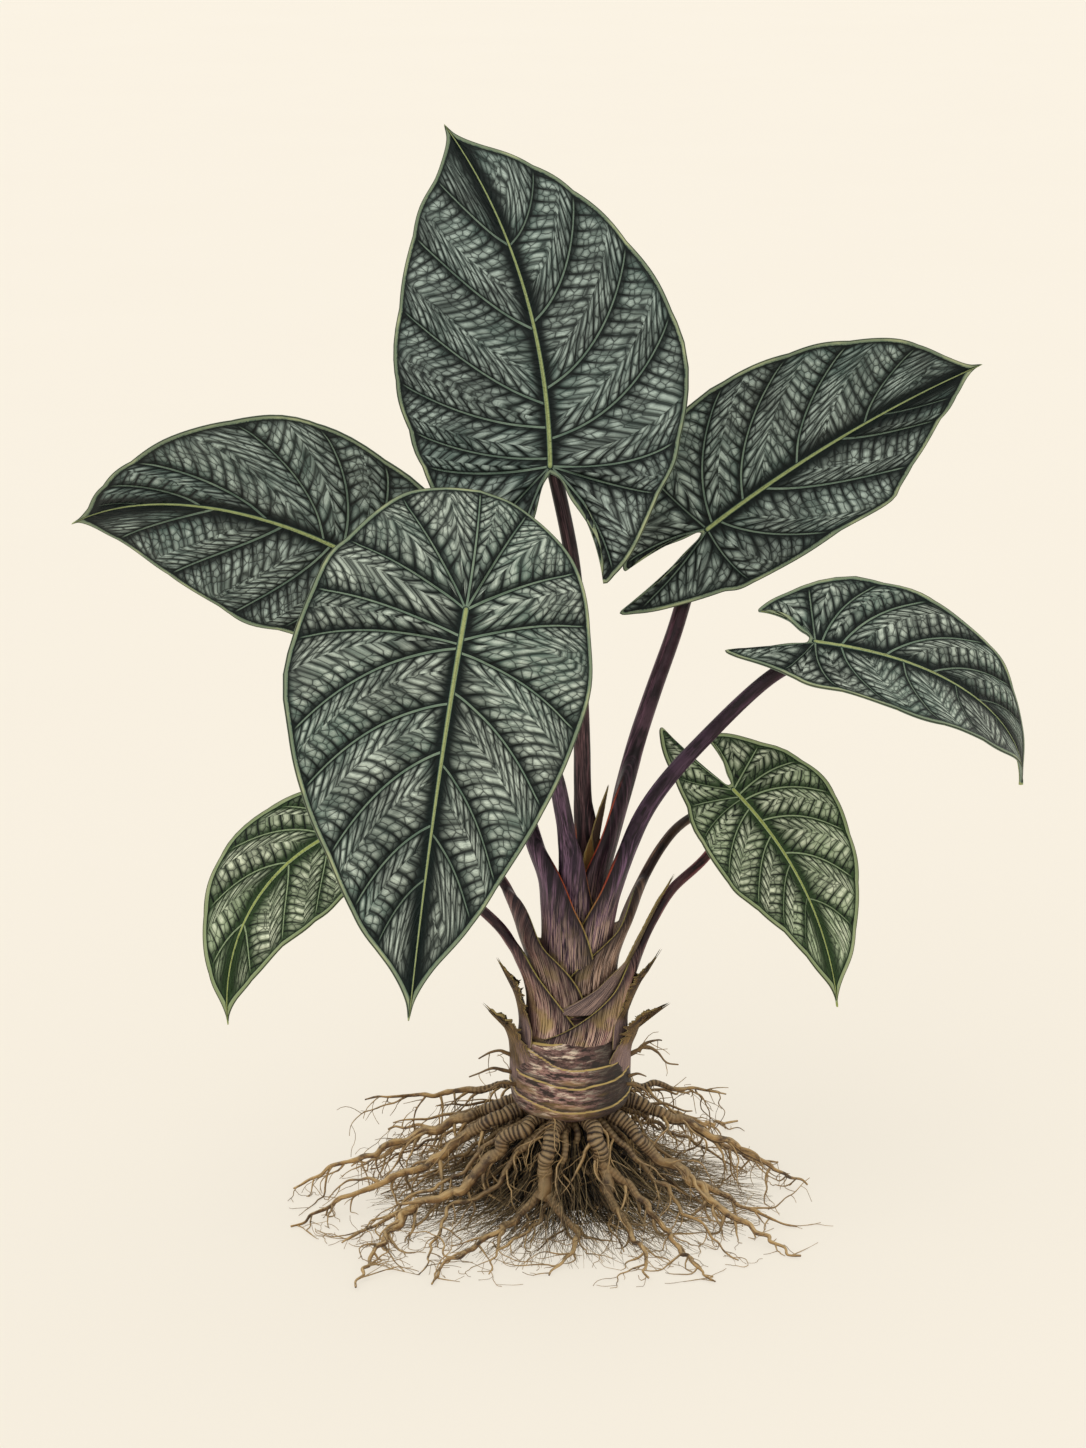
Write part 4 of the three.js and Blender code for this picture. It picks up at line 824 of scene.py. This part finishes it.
def blade_finish(name, dark, middle, silver, vein_tone, rib_tone, rim_tone, under_tone):
    """Skin of a blade: silvery cells between dark fine veins, pale main veins and a pale rim"""
    finish = Finish(name)
    vein, rib, edge = finish.parts("veins")
    chevron, count, face = finish.parts("pattern")
    cord, ridge, strength = finish.parts("cords")
    times, line, rise, most, coat = finish.times, finish.line, finish.rise, finish.most, finish.coat

    # Where a point lies in the net: past the split or not, its row of cross veins, and its cell
    late = finish.maths("GREATER_THAN", finish.maths("FRACT", count), PANEL_SPLIT)
    row = line(late, 0.5, chevron)
    turn = finish.maths("FRACT", row)
    cross = times(finish.maths("PINGPONG", row, 0.5), CROSS_VEIN_SPACING)
    across = line(vein, 1 / 3.1, times(late, 7.3))
    cell_place = finish.joined(across, times(row, 1.6))
    border = finish.cells(cell_place, "DISTANCE_TO_EDGE")
    centre = finish.cells(cell_place, "F1")
    cloud = finish.noise(finish.places(), 60.0, 3.0)
    broad = finish.noise(finish.places(), 22.0, 2.0)
    speckle = finish.noise(finish.places(), 1300.0, 2.0, 0.7)
    streak = finish.noise(finish.joined(across, times(row, 9.0)), 1.3, 3.0)

    # Silver in the cells with a painted highlight at each centre; darker beside every vein, cross vein, the midrib and
    # the rim, partly the blade's own dark green and partly painted shade in the valleys
    open_skin = times(rise(vein, 0.3, line(late, 3.4, 2.4)), rise(rib, 1.4, 9.0),
                      rise(edge, RIM_WIDTH - 0.5, RIM_WIDTH + 3.5))
    lit = times(open_skin, line(rise(turn, 0.02, 0.4), 0.5, 0.5), line(rise(turn, 1.0, 0.6), 0.35, 0.65),
                line(rise(centre, 0.62, 0.1), 0.6, 0.42), line(rise(cloud, 0.3, 0.66), 0.6, 0.5),
                line(rise(streak, 0.35, 0.65), 0.4, 0.72))
    shade = most(most(times(rise(cross, 1.3, 0.2), 0.5), times(rise(vein, 1.5, 0.4), 0.75)),
                 times(rise(rib, 5.0, 1.3), 0.85))
    grain = line(speckle, 0.7, 0.65)
    finish.colour = finish.blend(rise(broad, 0.35, 0.7), dark, middle)
    finish.colour = finish.blend(rise(open_skin, 0.0, 0.6), dark, finish.colour)
    coat(lit, silver)
    coat(shade, dark)
    finish.colour = finish.blend(0.8, finish.colour, finish.joined(grain, grain, grain), "MULTIPLY")

    # Dark lines round the cells, then the rim with the vein that runs along it
    far_from_vein = line(rise(vein, 4.0, 10.0), -0.45, 0.95)
    lines = most(times(rise(border, 0.11, 0.02), 0.7), times(rise(cross, 0.5, 0.14), far_from_vein))
    coat(times(lines, rise(edge, RIM_WIDTH - 0.2, RIM_WIDTH + 0.3), rise(rib, 1.0, 3.0)), LINE_TONE)
    inner_rim = finish.blend(rise(streak, 0.35, 0.65), middle, rim_tone)
    outer_rim = finish.blend(rise(cloud, 0.45, 0.7), rim_tone, 0xA3AB84)
    coat(rise(edge, RIM_WIDTH, RIM_WIDTH - 0.4), finish.blend(rise(edge, 1.4, 0.9), inner_rim, outer_rim))
    collector = rise(finish.size(finish.maths("SUBTRACT", edge, RIM_WIDTH)), 0.35, 0.1)
    coat(most(collector, rise(edge, 0.4, 0.15)), LINE_TONE, 0.8)

    # Side veins and midrib, each between two dark lines
    coat(times(rise(cord, 2.1, 1.5), strength, rise(edge, 2.6, 4.5)), LINE_TONE, 0.8)
    coat(times(rise(cord, 1.2, 0.8), strength, rise(edge, 2.2, 5.0)), finish.blend(cloud, vein_tone, middle))
    coat(rise(ridge, 1.35, 1.15), LINE_TONE)
    # The midrib paler along its crest, partly its own pale green and partly painted highlight
    on_rib = rise(ridge, 1.08, 0.92)
    coat(on_rib, finish.blend(rise(ridge, 1.0, 0.35), middle, rib_tone))

    # The plain underside
    below = finish.blend(times(rise(border, 0.1, 0.02), 0.3), under_tone, middle)
    below = finish.blend(most(rise(cord, 1.3, 0.8), on_rib), below, rib_tone)
    finish.colour = finish.blend(rise(face, 0.45, 0.75), below, finish.colour)
    finish.done(cloud, 0.25, 0.42)
    height = finish.maths("SUBTRACT", rise(border, 0.0, 0.3), times(rise(cross, 1.2, 0.0), 0.8))
    finish.bump(times(height, rise(edge, 2.5, 4.5)), 0.0005, 0.7)
    finish.sets(Specular_IOR_Level=0.15)
    return finish.material


deep_skin = blade_finish("deep_green_blade", 0x081412, 0x2A443E, 0xA8B7AE, 0x8A9C88, 0x98A46C, 0x75836A, 0x7F9080)
green_skin = blade_finish("dark_green_blade", 0x0A1815, 0x446055, 0xC2CEC0, 0x93A48C, 0x9EA870, 0x7C8A70, 0x7F9080)
olive_skin = blade_finish("olive_blade", 0x2E4226, 0x98AE84, 0xE0E8CC, 0x9DAD88, 0xA3AD62, 0x8A976E, 0x8B9A7C)
BLADE_SKINS = dict(top=deep_skin, upper_right=deep_skin, left=deep_skin, lower_left=olive_skin,
                   lower_right=olive_skin)
for leaf in LEAVES:
    blade = piece("blade_of_" + leaf["name"], blade_form(leaf), BLADE_SKINS.get(leaf["name"], green_skin))
    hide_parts("blade_" + leaf["name"])
    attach(blade, "root")


# Bracts and old sheaths
# Dry papery leftovers: three narrow bracts between the stalks, and four old sheaths that still hug the stem while
# their torn tips roll in and stand off it. They are thin curved strips, brown and streaked along, with paler edges.
TEAR_STEP = 4.6
SCALE_RINGS = 90
LOOSENESS = 1.5

# Points up the middle of each in mm, with its half width and the radius it is rolled to at each point.
# Tones: at the foot, of its dark and its light fibres, and inside.
SCALES = [
    dict(name="bract_centre", side=290, points=((8.5, -2, 145), (10.3, 0, 165), (13.3, 3, 179),
         (16.5, 5, 190.5)),
         widths=(3, 2.4, 1.6, 0.3), rolls=(9, 9, 8, 8), thick=0.5, torn=0.2,
         tones=(0x3E2A20, 0x3E2A20, 0x6E5236, 0x2A1C18)),
    dict(name="bract_front", side=275, points=((6.8, -5, 142), (7.2, -5, 152), (8, -4, 162), (9.2, -3, 171.5)),
         widths=(3, 2.6, 2.2, 0.3), rolls=(9, 9, 8, 8), thick=0.5, torn=0.2,
         tones=(0x6A4A22, 0x6A4A22, 0xA9823A, 0x4A3A22)),
    dict(name="bract_right", side=335, points=((21, -8, 93), (22.3, -7, 104), (26, -4, 113), (31, -2, 124),
         (38, 0, 138), (45.5, 2, 151)),
         widths=(34, 15, 4.4, 2.7, 2.2, 0.3), rolls=(20.5, 20.5, 18, 14, 10, 8), thick=0.6, torn=0.5,
         tones=(0x3C2E34, 0x4E3F24, 0x8E7D48, 0x33261C)),
    dict(name="old_sheath_left_high", side=185, points=((-23, -3, 74), (-22, -3, 84), (-23.4, -3, 94),
         (-26.2, -3.5, 102), (-29.2, -4, 108), (-32.7, -4, 115)),
         widths=(15, 14, 9.5, 7.5, 6, 2.6), rolls=(24, 23, 20, 8, 4, 2.8), thick=0.7, torn=1.0,
         tones=(0x54424A, 0x3A2616, 0x97763F, 0x20140E)),
    dict(name="old_sheath_left_low", side=200, points=((-24.6, -7, 60), (-24.9, -7, 71), (-26.3, -7, 78),
         (-29.2, -7, 83.6), (-33, -7.5, 88), (-38.5, -8, 94.5)),
         widths=(15, 14, 10, 7.5, 6, 2.6), rolls=(25, 25, 21, 8, 4, 2.8), thick=0.7, torn=1.0,
         tones=(0x6A5358, 0x3C2918, 0x9C7B44, 0x20140E)),
    dict(name="old_sheath_right_high", side=352, points=((24.6, -2, 75), (24.6, -2, 86), (26.2, -2, 92),
         (30, -2, 101), (34.6, -3, 109), (40.4, -4, 119.5)),
         widths=(15, 14, 10, 7.5, 6, 2.6), rolls=(24, 24, 20, 8, 4, 2.8), thick=0.7, torn=1.0,
         tones=(0x54424A, 0x3A2616, 0x97763F, 0x20140E)),
    dict(name="old_sheath_right_low", side=340, points=((24.6, -7, 60), (25.1, -7, 71), (27.6, -7, 78),
         (30.4, -7, 84), (35.4, -7.5, 89.5), (43.6, -8, 94.5)),
         widths=(15, 14, 10, 7.5, 6, 2.6), rolls=(25, 25, 21, 8, 4, 2.8), thick=0.7, torn=1.0,
         tones=(0x6A5358, 0x3C2918, 0x9C7B44, 0x20140E)),
]


def between(ends, values, x):
    """Value at x on the line drawn through listed values"""
    for k in range(len(ends) - 2):
        if x < ends[k + 1]:
            break
    else:
        k = len(ends) - 2
    f = min(max((x - ends[k]) / (ends[k + 1] - ends[k]), 0.0), 1.0)
    return values[k] + (values[k + 1] - values[k]) * f


def scale_form(item):
    first_tear = 0.31 * len(item["name"])
    reaches = [0.0]
    for before, after in zip(item["points"], item["points"][1:]):
        reaches.append(reaches[-1] + (Vector(after) - Vector(before)).length)

    def shape(s, length):
        share = s / length
        at = s * reaches[-1] / length
        torn = item["torn"] * smooth(share, 0.3, 0.5)
        tear = TEAR_STEP * (math.floor(at / TEAR_STEP + first_tear) - first_tear)
        stepped = between(reaches, item["widths"], max(tear, 0.0))
        a = between(reaches, item["widths"], at)
        a += (stepped - a) * 0.75 * torn * smooth(share, 1.0, 0.85)
        a *= 1 - 0.45 * torn * smooth(share, 0.6, 1.0)
        a *= 1 + 0.5 * torn * noise.noise(Vector((at / 1.2, item["side"], 1.0)))
        return (a, a), item["thick"] * (1 - 0.5 * share), 1 / between(reaches, item["rolls"], at), 0.0, 1 - 0.6 * share

    form = strip(item["points"], item["side"], shape, SCALE_RINGS)
    way = Way(item["points"])
    marks = form.verts.layers.float_vector["strip"]
    for vert in form.verts:
        across, s, _ = vert[marks]
        share = min(s / reaches[-1], 1.0)
        split = noise.noise(Vector((3.1 * across, item["side"] * 1.7, 0.0)))
        split += 0.6 * noise.noise(Vector((8 * across, item["side"] * 0.7, 5.0)))
        lost = min(abs(split) * 0.8, 0.36) * item["torn"] * smooth(share, 0.55, 1.0)
        vert.co += (way.at(share - lost) - way.at(share)) * MM
        loose = noise.noise(Vector((2.2 * across, s / 7, item["side"])))
        vert.co += vert.co.normalized() * LOOSENESS * MM * item["torn"] * loose * smooth(share, 0.2, 0.8)
    return form


def scale_finish(name, foot, dark, light, inside):
    """Dry skin: the stem's tone at the foot, brown fibres above it, darker inside and paler along the edges"""
    finish = Finish(name)
    across, along, outer = finish.parts("strip")
    width, _, share = finish.parts("girth")
    fibre = finish.noise(finish.joined(finish.times(across, 12.0), finish.times(along, 0.06)), 1.4, 5.0, 0.7)
    fine = finish.noise(finish.joined(finish.times(across, 42.0), finish.times(along, 0.05)), 1.4, 3.0, 0.7)
    cloud = finish.noise(finish.places(), 60.0, 4.0)
    high = finish.blend(finish.rise(fibre, 0.42, 0.68), dark, light)
    margin = finish.times(finish.maths("SUBTRACT", 1.0, finish.size(across)), width)
    finish.colour = finish.blend(finish.rise(fine, 0.44, 0.6), foot, 0xA88C80)
    finish.coat(finish.rise(fine, 0.42, 0.3), 0x1C1214)
    finish.coat(finish.rise(finish.maths("ADD", share, cloud), 0.68, 0.92), high)
    finish.coat(finish.rise(cloud, 0.5, 0.75), inside, 0.5)
    finish.coat(finish.rise(outer, 0.3, -0.3), inside, 0.75)
    finish.coat(finish.times(finish.rise(margin, 0.7, 0.35), finish.line(cloud, 1.2, 0.1)), 0xA8935A)
    finish.done(fibre, 0.25, 0.6)
    finish.bump(fibre, 0.0006, 0.8)
    return finish.material


for item in SCALES:
    scale = piece("dry_" + item["name"], scale_form(item), scale_finish("dry_skin_" + item["name"], *item["tones"]))
    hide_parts(item["name"])
    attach(scale, "root")


# Main roots
# Thirteen golden-brown fleshy roots that leave the stem in a ring, creased crosswise near it like an elastic, with
# thinner ones beside each. They fork and carry crooked side roots, which branch again and run out over the ground.
ROOT_SEED = 11
KINK = 0.6
THIN_ROOTS = 2
SIDE_ROOT_PITCH = 7.5
CREASE_PITCH = 1.9

# Where the roots end at the sides, and at the front and the back, in mm
OUTER_REACH = (126, 98)

# Each root's middle line and its half thickness at both ends in mm, then its forks in the same way
ROOTS = [
    ([(-10, -11, 45), (-23, -22, 39), (-37, -22, 25), (-48, -29, 15), (-67, -32, 10), (-77, -50, 6), (-85, -73, 3),
      (-91, -97, 0.6)], (4.3, 0.45), [([(-66, -32, 10), (-83, -40, 5), (-98, -52, 0.6)], (1.7, 0.35))]),
    ([(-4, -15, 45), (-9, -30, 38), (-11, -32, 24), (-12, -34, 13)], (4.4, 3.0), [
        ([(-11, -32, 17), (-22, -41, 9), (-36, -58, 5), (-53, -76, 2.5), (-59, -94, 0.8)], (2.8, 0.4)),
        ([(-12, -33, 16), (-3, -42, 8), (3, -56, 4), (-2, -72, 2.5), (-10, -86, 0.8)], (2.8, 0.4))]),
    ([(6, -15, 45), (12, -29, 39), (13, -27, 28), (16, -32, 15)], (4.4, 3.0), [
        ([(15, -30, 18), (19, -37, 10), (26, -50, 5), (32, -70, 3), (31, -88, 0.8)], (2.8, 0.4)),
        ([(13, -28, 27), (25, -31, 18), (34, -38, 11), (41, -54, 6), (50, -74, 3), (60, -91, 0.8)], (2.6, 0.4))]),
    ([(14, -8, 45), (27, -15, 38), (39, -19, 26), (55, -22, 16), (65, -34, 10), (77, -44, 6), (87, -57, 3),
      (98, -68, 0.6)], (4.3, 0.45), [([(55, -22, 16), (70, -24, 9), (88, -34, 3), (98, -36, 0.6)], (1.8, 0.35))]),
    ([(16, 1, 46), (31, 2, 43), (46, 1, 37), (63, 0, 28), (78, 1, 21), (92, 1, 12), (108, 8, 0.6)], (4.3, 0.45),
     [([(62, 0, 28), (74, 12, 16), (88, 24, 5), (96, 34, 0.6)], (1.8, 0.35))]),
    ([(-16, -4, 46), (-30, -9, 42), (-48, -9, 31), (-62, -12, 21), (-84, -14, 12), (-108, -25, 4), (-122, -35, 0.6)],
     (4.3, 0.45), []),
    ([(-16, 3, 46), (-31, 4, 42), (-51, 3, 34), (-68, 4, 27), (-86, 2, 20), (-108, 1, 11), (-123, 4, 0.6)],
     (4.1, 0.45), [([(-68, 4, 27), (-80, 16, 15), (-92, 26, 5), (-99, 31, 0.6)], (1.8, 0.35))]),
    ([(-15, 10, 47), (-30, 20, 45), (-50, 24, 40), (-74, 28, 36), (-92, 32, 33)], (2.9, 0.35), []),
    ([(14, 9, 47), (29, 17, 46), (46, 20, 44), (60, 24, 40), (70, 28, 37)], (2.9, 0.35), []),
    ([(12, 11, 45), (24, 24, 36), (40, 38, 24), (56, 52, 14), (68, 68, 6), (78, 82, 0.6)], (4.1, 0.45), []),
    ([(5, 15, 45), (9, 31, 38), (14, 46, 24), (24, 66, 12), (30, 88, 4), (28, 104, 0.6)], (4.1, 0.45),
     [([(14, 46, 24), (6, 60, 12), (2, 78, 4), (6, 94, 0.6)], (2.0, 0.6))]),
    ([(-5, 15, 45), (-11, 30, 37), (-20, 46, 23), (-26, 66, 11), (-38, 84, 4), (-44, 98, 0.6)], (4.1, 0.45), []),
    ([(-12, 12, 45), (-24, 25, 36), (-38, 38, 23), (-58, 50, 13), (-72, 66, 5), (-84, 74, 0.6)], (4.1, 0.45), []),
]

# Short thin roots high on the stem's sides, each its middle line in mm
HIGH_ROOTS = [
    [(-24, -2, 67), (-30, -3, 70), (-35, -3, 70.5), (-39, -4, 67)],
    [(-24, -4, 60), (-32, -6, 63), (-38, -6, 62), (-45, -8, 59)],
    [(-23, -8, 56), (-31, -12, 58), (-37, -13, 54)],
    [(24, -1, 66), (31, -1, 70), (37, -2, 71), (42, -3, 66), (49, -4, 64)],
    [(30, -1, 69), (35, 2, 73), (41, 3, 72)],
    [(24, -6, 59), (30, -8, 61), (35, -9, 60)],
    [(23, -8, 56), (30, -11, 57), (36, -13, 51)],
]


def tube(form, way, radii, sides, rings, order, tone, creased=0.0):
    """Round root along a way, thinning out, closed at both ends"""
    reference = Vector((0.0, 0.0, 1.0))
    cuts = []
    for row in range(rings + 1):
        share = min(max((row - 1) / (rings - 2), 0.0), 1.0)
        ahead = way.ahead(share)
        sideways = ahead.cross(reference)
        sideways = sideways.normalized() if sideways.length > 0.05 else ahead.orthogonal().normalized()
        reference = sideways.cross(ahead)
        along = share * way.length
        radius = radii[0] + (radii[1] - radii[0]) * share ** (0.6 if order == 0 else 0.8)
        crease = abs((along / CREASE_PITCH) % 1 - 0.5) * 2
        radius *= 1 - 0.16 * creased * crease ** 2 * smooth(along, 36, 16)
        radius *= 1 + 0.22 * noise.noise(Vector((along / 3.4, tone * 31, order)))
        cuts.append((way.at(share), sideways, reference, radius if 0 < row < rings else 0.0, along))

    def place(column, row):
        centre, sideways, rise, radius, along = cuts[row]
        turn = 2 * math.pi * column / sides
        lumps = noise.noise(Vector((math.cos(turn) * 1.5, math.sin(turn) * 1.5, along / 6 + tone)))
        point = centre + radius * (1 + 0.1 * lumps) * (sideways * math.cos(turn) + rise * math.sin(turn))
        point.z = max(point.z, 0.05)
        return point, (column / sides, along, order), (tone, smooth(along, 40, 20) * creased, 0.0)

    rolled(form, sides, rings, ("grain", "kind"), place)


def crooked(draw, start, heading, length, steps, drop):
    """Points of a thin crooked root that sinks to the ground and creeps along it"""
    points = [Vector(start)]
    heading = Vector(heading).normalized()
    for _ in range(steps):
        turn = Vector((draw.uniform(-1, 1), draw.uniform(-1, 1), draw.uniform(-0.6, 0.6)))
        heading = (heading + KINK * turn + Vector((0, 0, -drop))).normalized()
        point = points[-1] + heading * length / steps
        point.z = max(point.z, 0.5)
        limit = math.hypot(point.x / OUTER_REACH[0], point.y / OUTER_REACH[1])
        if limit > 1:
            point.x /= limit
            point.y /= limit
        points.append(point)
    return points


def gather(form, bundle):
    """Moves a bundle of small roots over into the whole form"""
    mesh = bpy.data.meshes.new("bundle")
    bundle.to_mesh(mesh)
    bundle.free()
    form.from_mesh(mesh)
    bpy.data.meshes.remove(mesh)


def side_roots(form, draw, way, radii, pitch, order):
    """Thin roots that leave a root on all sides and branch again"""
    along = 14.0 if order == 1 and way.length > 60 else 3.0
    while along < way.length - 1:
        share = along / way.length
        thick = radii[0] + (radii[1] - radii[0]) * share
        ahead = way.ahead(share)
        outward = Vector((draw.uniform(-1, 1), draw.uniform(-1, 1), draw.uniform(-0.9, 0.25)))
        outward = (outward - outward.dot(ahead) * ahead).normalized()
        start = way.at(share) + outward * thick * 0.5
        length = draw.uniform(12, 40) if order == 1 else draw.uniform(5, 16)
        small = min(0.55 * thick, draw.uniform(0.4, 1.25)) if order == 1 else min(0.6 * thick, 0.3)
        heading = outward + ahead * draw.uniform(0.5, 1.5)
        points = crooked(draw, start, heading, length, max(3, int(length / 3.2)), 0.16 if start.z > 3 else 0.02)
        twig = Way(points, 5)
        tube(form, twig, (small, 0.14), 5 if order == 1 else 3, max(6, int(length / 1.6)), order, draw.random())
        if order == 1:
            side_roots(form, draw, twig, (small, 0.14), pitch * 1.2, 2)
        along += pitch * draw.uniform(0.5, 1.5)


def wandering(points, draw):
    """The listed points with small kinks between them, as a root that found its way between stones"""
    way = Way(points, 12)
    count = max(4, int(way.length / 5))
    out = []
    for k in range(count + 1):
        point = way.at(k / count)
        sway = 1.6 * min(k / 4, 1.0)
        x, y, z = (draw.uniform(-sway, sway) for _ in range(3))
        out.append(point + Vector((x, y, 0.6 * z)))
        out[-1].z = max(out[-1].z, 0.8)
    return Way(out, 6)


skin = Finish("root_skin")
around, along, order = skin.parts("grain")
tone, creased, _ = skin.parts("kind")
lengthwise = skin.noise(skin.joined(skin.times(around, 7.0), skin.line(along, 0.12, tone)), 1.0, 4.0, 0.7)
patch = skin.noise(skin.places(), 130.0, 4.0, 0.65)
x, y, z = skin.node("SeparateXYZ", {0: skin.places()}).outputs
from_stem = skin.maths("SQRT", skin.line(x, x, skin.times(y, y)))
off_top = skin.size(skin.maths("SUBTRACT", around, 0.25))
turns = skin.maths("ADD", skin.maths("DIVIDE", along, CREASE_PITCH), skin.times(patch, 0.5))
crease = skin.times(skin.maths("PINGPONG", skin.maths("SUBTRACT", turns, 0.25), 0.5), 2.0)
skin.colour = skin.blend(skin.rise(patch, 0.38, 0.62), 0x6B4B2A, 0xA9844F)
skin.coat(skin.rise(lengthwise, 0.5, 0.7), 0xCFB07C)
# Painted highlight along the top of each root, and painted shade on its underside
skin.coat(skin.rise(off_top, 0.22, 0.05), 0xE0C795, 0.4)
skin.coat(skin.rise(off_top, 0.2, 0.42), 0x3A2817, 0.7)
skin.coat(skin.rise(patch, 0.46, 0.32), 0x352313, 0.85)
skin.coat(skin.rise(lengthwise, 0.44, 0.3), 0x2E1E11, 0.6)
# Painted shade on the main roots close under the stem
skin.coat(skin.times(skin.rise(from_stem, 0.066, 0.04), skin.rise(order, 0.5, 0.2)), 0x4B3726, 0.55)
# Cream crests on the rings near the stem, and painted shade in the creases between them
skin.coat(skin.times(skin.rise(crease, 0.5, 0.1), creased), 0xB39A78, 0.5)
skin.coat(skin.times(skin.rise(crease, 0.55, 0.85), creased), 0x22160E, 0.9)
skin.coat(skin.rise(order, 0.5, 1.5), 0xC2A67C, 0.35)
skin.done(patch, 0.3, 0.5)
skin.bump(skin.line(skin.times(crease, creased), -1.5, skin.maths("ADD", patch, lengthwise)), 0.0005, 0.8)

draw = random.Random(ROOT_SEED)
for number, (points, radii, forks) in enumerate(ROOTS, 1):
    form = bmesh.new()
    branches = [(points, radii, 1.0), *((way, thick, 0.25) for way, thick in forks)]
    for way_points, thick, creased in branches:
        way = wandering(way_points, draw)
        tube(form, way, thick, 14, max(24, int(way.length / 0.75)), 0, draw.random(), creased)
        bundle = bmesh.new()
        side_roots(bundle, draw, way, thick, SIDE_ROOT_PITCH, 1)
        gather(form, bundle)
    for k in range(THIN_ROOTS):
        ends = points[:-1] + forks[k % 2][0][1:] if points[-1][2] > 5 and forks else points
        turned = Matrix.Rotation(math.radians((-1) ** k * draw.uniform(6, 17)), 3, "Z")
        reach = draw.uniform(0.6, 0.88)
        way = wandering([turned @ Vector((reach * x, reach * y, 0.92 * z)) for x, y, z in ends], draw)
        tube(form, way, (draw.uniform(1.3, 2.2), 0.3), 10, max(24, int(way.length)), 0, draw.random(), 0.4)
        bundle = bmesh.new()
        side_roots(bundle, draw, way, (1.5, 0.3), SIDE_ROOT_PITCH, 1)
        gather(form, bundle)
    for points in HIGH_ROOTS if number == len(ROOTS) else []:
        way = wandering(points, draw)
        tube(form, way, (1.3, 0.3), 10, 30, 0, draw.random())
        side_roots(form, draw, way, (0.8, 0.3), 7, 2)
    root = piece(f"main_root_{number}", form, skin.material)
    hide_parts(f"root_{number}")
    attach(root, "root")


# Fine roots
# A dense tuft of hair-thin roots that hangs from under the stem and fans out flat on the ground between the main
# roots, with painted shade near black in the middle, paler at its thin ends. A low clump of the same roots fills its
# core.
HAIRS = 2400
HAIRS_IN_BUNDLE = 50
HAIR_REACH = (30, 82)
CLUMP_COLUMNS = 72
CLUMP_ROWS = 24

# Radius and height of the clump's side in mm, from the ground up
CLUMP_PROFILE = [(17, 0.2), (15, 5), (13, 14), (12, 26), (10, 40)]

skin = Finish("fine_root_skin")
x, y, z = skin.node("SeparateXYZ", {0: skin.places()}).outputs
from_stem = skin.maths("SQRT", skin.line(x, x, skin.times(y, y)))
tangle = skin.noise(skin.places(), 260.0, 5.0, 0.7)
tone, *_ = skin.parts("kind")
# Painted shade: near black close to the stem's axis, paler further out
skin.colour = skin.blend(skin.rise(from_stem, 0.024, 0.07), 0x120B06, 0x806E50)
skin.coat(skin.rise(tone, 0.6, 0.9), 0xB29A6E, 0.7)
skin.coat(skin.rise(tangle, 0.5, 0.75), 0x54422F)
skin.done(tangle, 0.2, 0.7)
skin.bump(tangle, 0.001, 0.9)

core = Way([(radius, height, 0) for radius, height in CLUMP_PROFILE])


def around_stem(radius, turn, height):
    return Vector((radius * math.cos(turn), radius * math.sin(turn), height))


def clump(column, row):
    radius, height, _ = core.at((row - 1) / (CLUMP_ROWS - 2))
    turn = 2 * math.pi * column / CLUMP_COLUMNS
    radius *= 1 + 0.16 * noise.noise(around_stem(3, turn, height / 9))
    radius *= 1 + 0.1 * noise.noise(around_stem(14, turn, height / 4))
    radius = 0.0 if row in (0, CLUMP_ROWS) else radius
    return around_stem(radius, turn, height), (0.0, height, 2.0), (0.5, 0.0, 0.0)


form = rolled(bmesh.new(), CLUMP_COLUMNS, CLUMP_ROWS, ("grain", "kind"), clump)
bundle = bmesh.new()
for number in range(1, HAIRS + 1):
    turn = draw.uniform(0, 2 * math.pi)
    inner = draw.uniform(7, 16)
    height = draw.uniform(8, 44) if draw.random() < 0.7 else draw.uniform(0.6, 6)
    reach = draw.uniform(*HAIR_REACH)
    end_turn = turn + draw.uniform(-0.35, 0.35)
    half_turn = turn + (end_turn - turn) * 0.5 + draw.uniform(-0.12, 0.12)
    middle = around_stem(inner + (reach - inner) * 0.45, half_turn, height * draw.uniform(0.3, 0.62) + 0.4)
    end = Vector((1.12 * reach * math.cos(end_turn), 0.98 * reach * math.sin(end_turn), draw.uniform(0.3, 1.2)))
    way = Way([around_stem(inner, turn, height), middle, end], 8)
    tube(bundle, way, (draw.uniform(0.16, 0.36), 0.07), 3, 8, 2, draw.random())
    if number % HAIRS_IN_BUNDLE == 0:
        gather(form, bundle)
        bundle = bmesh.new()
mat = piece("fine_root_mat", form, skin.material)
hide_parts("crown_mat")
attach(mat, "root")
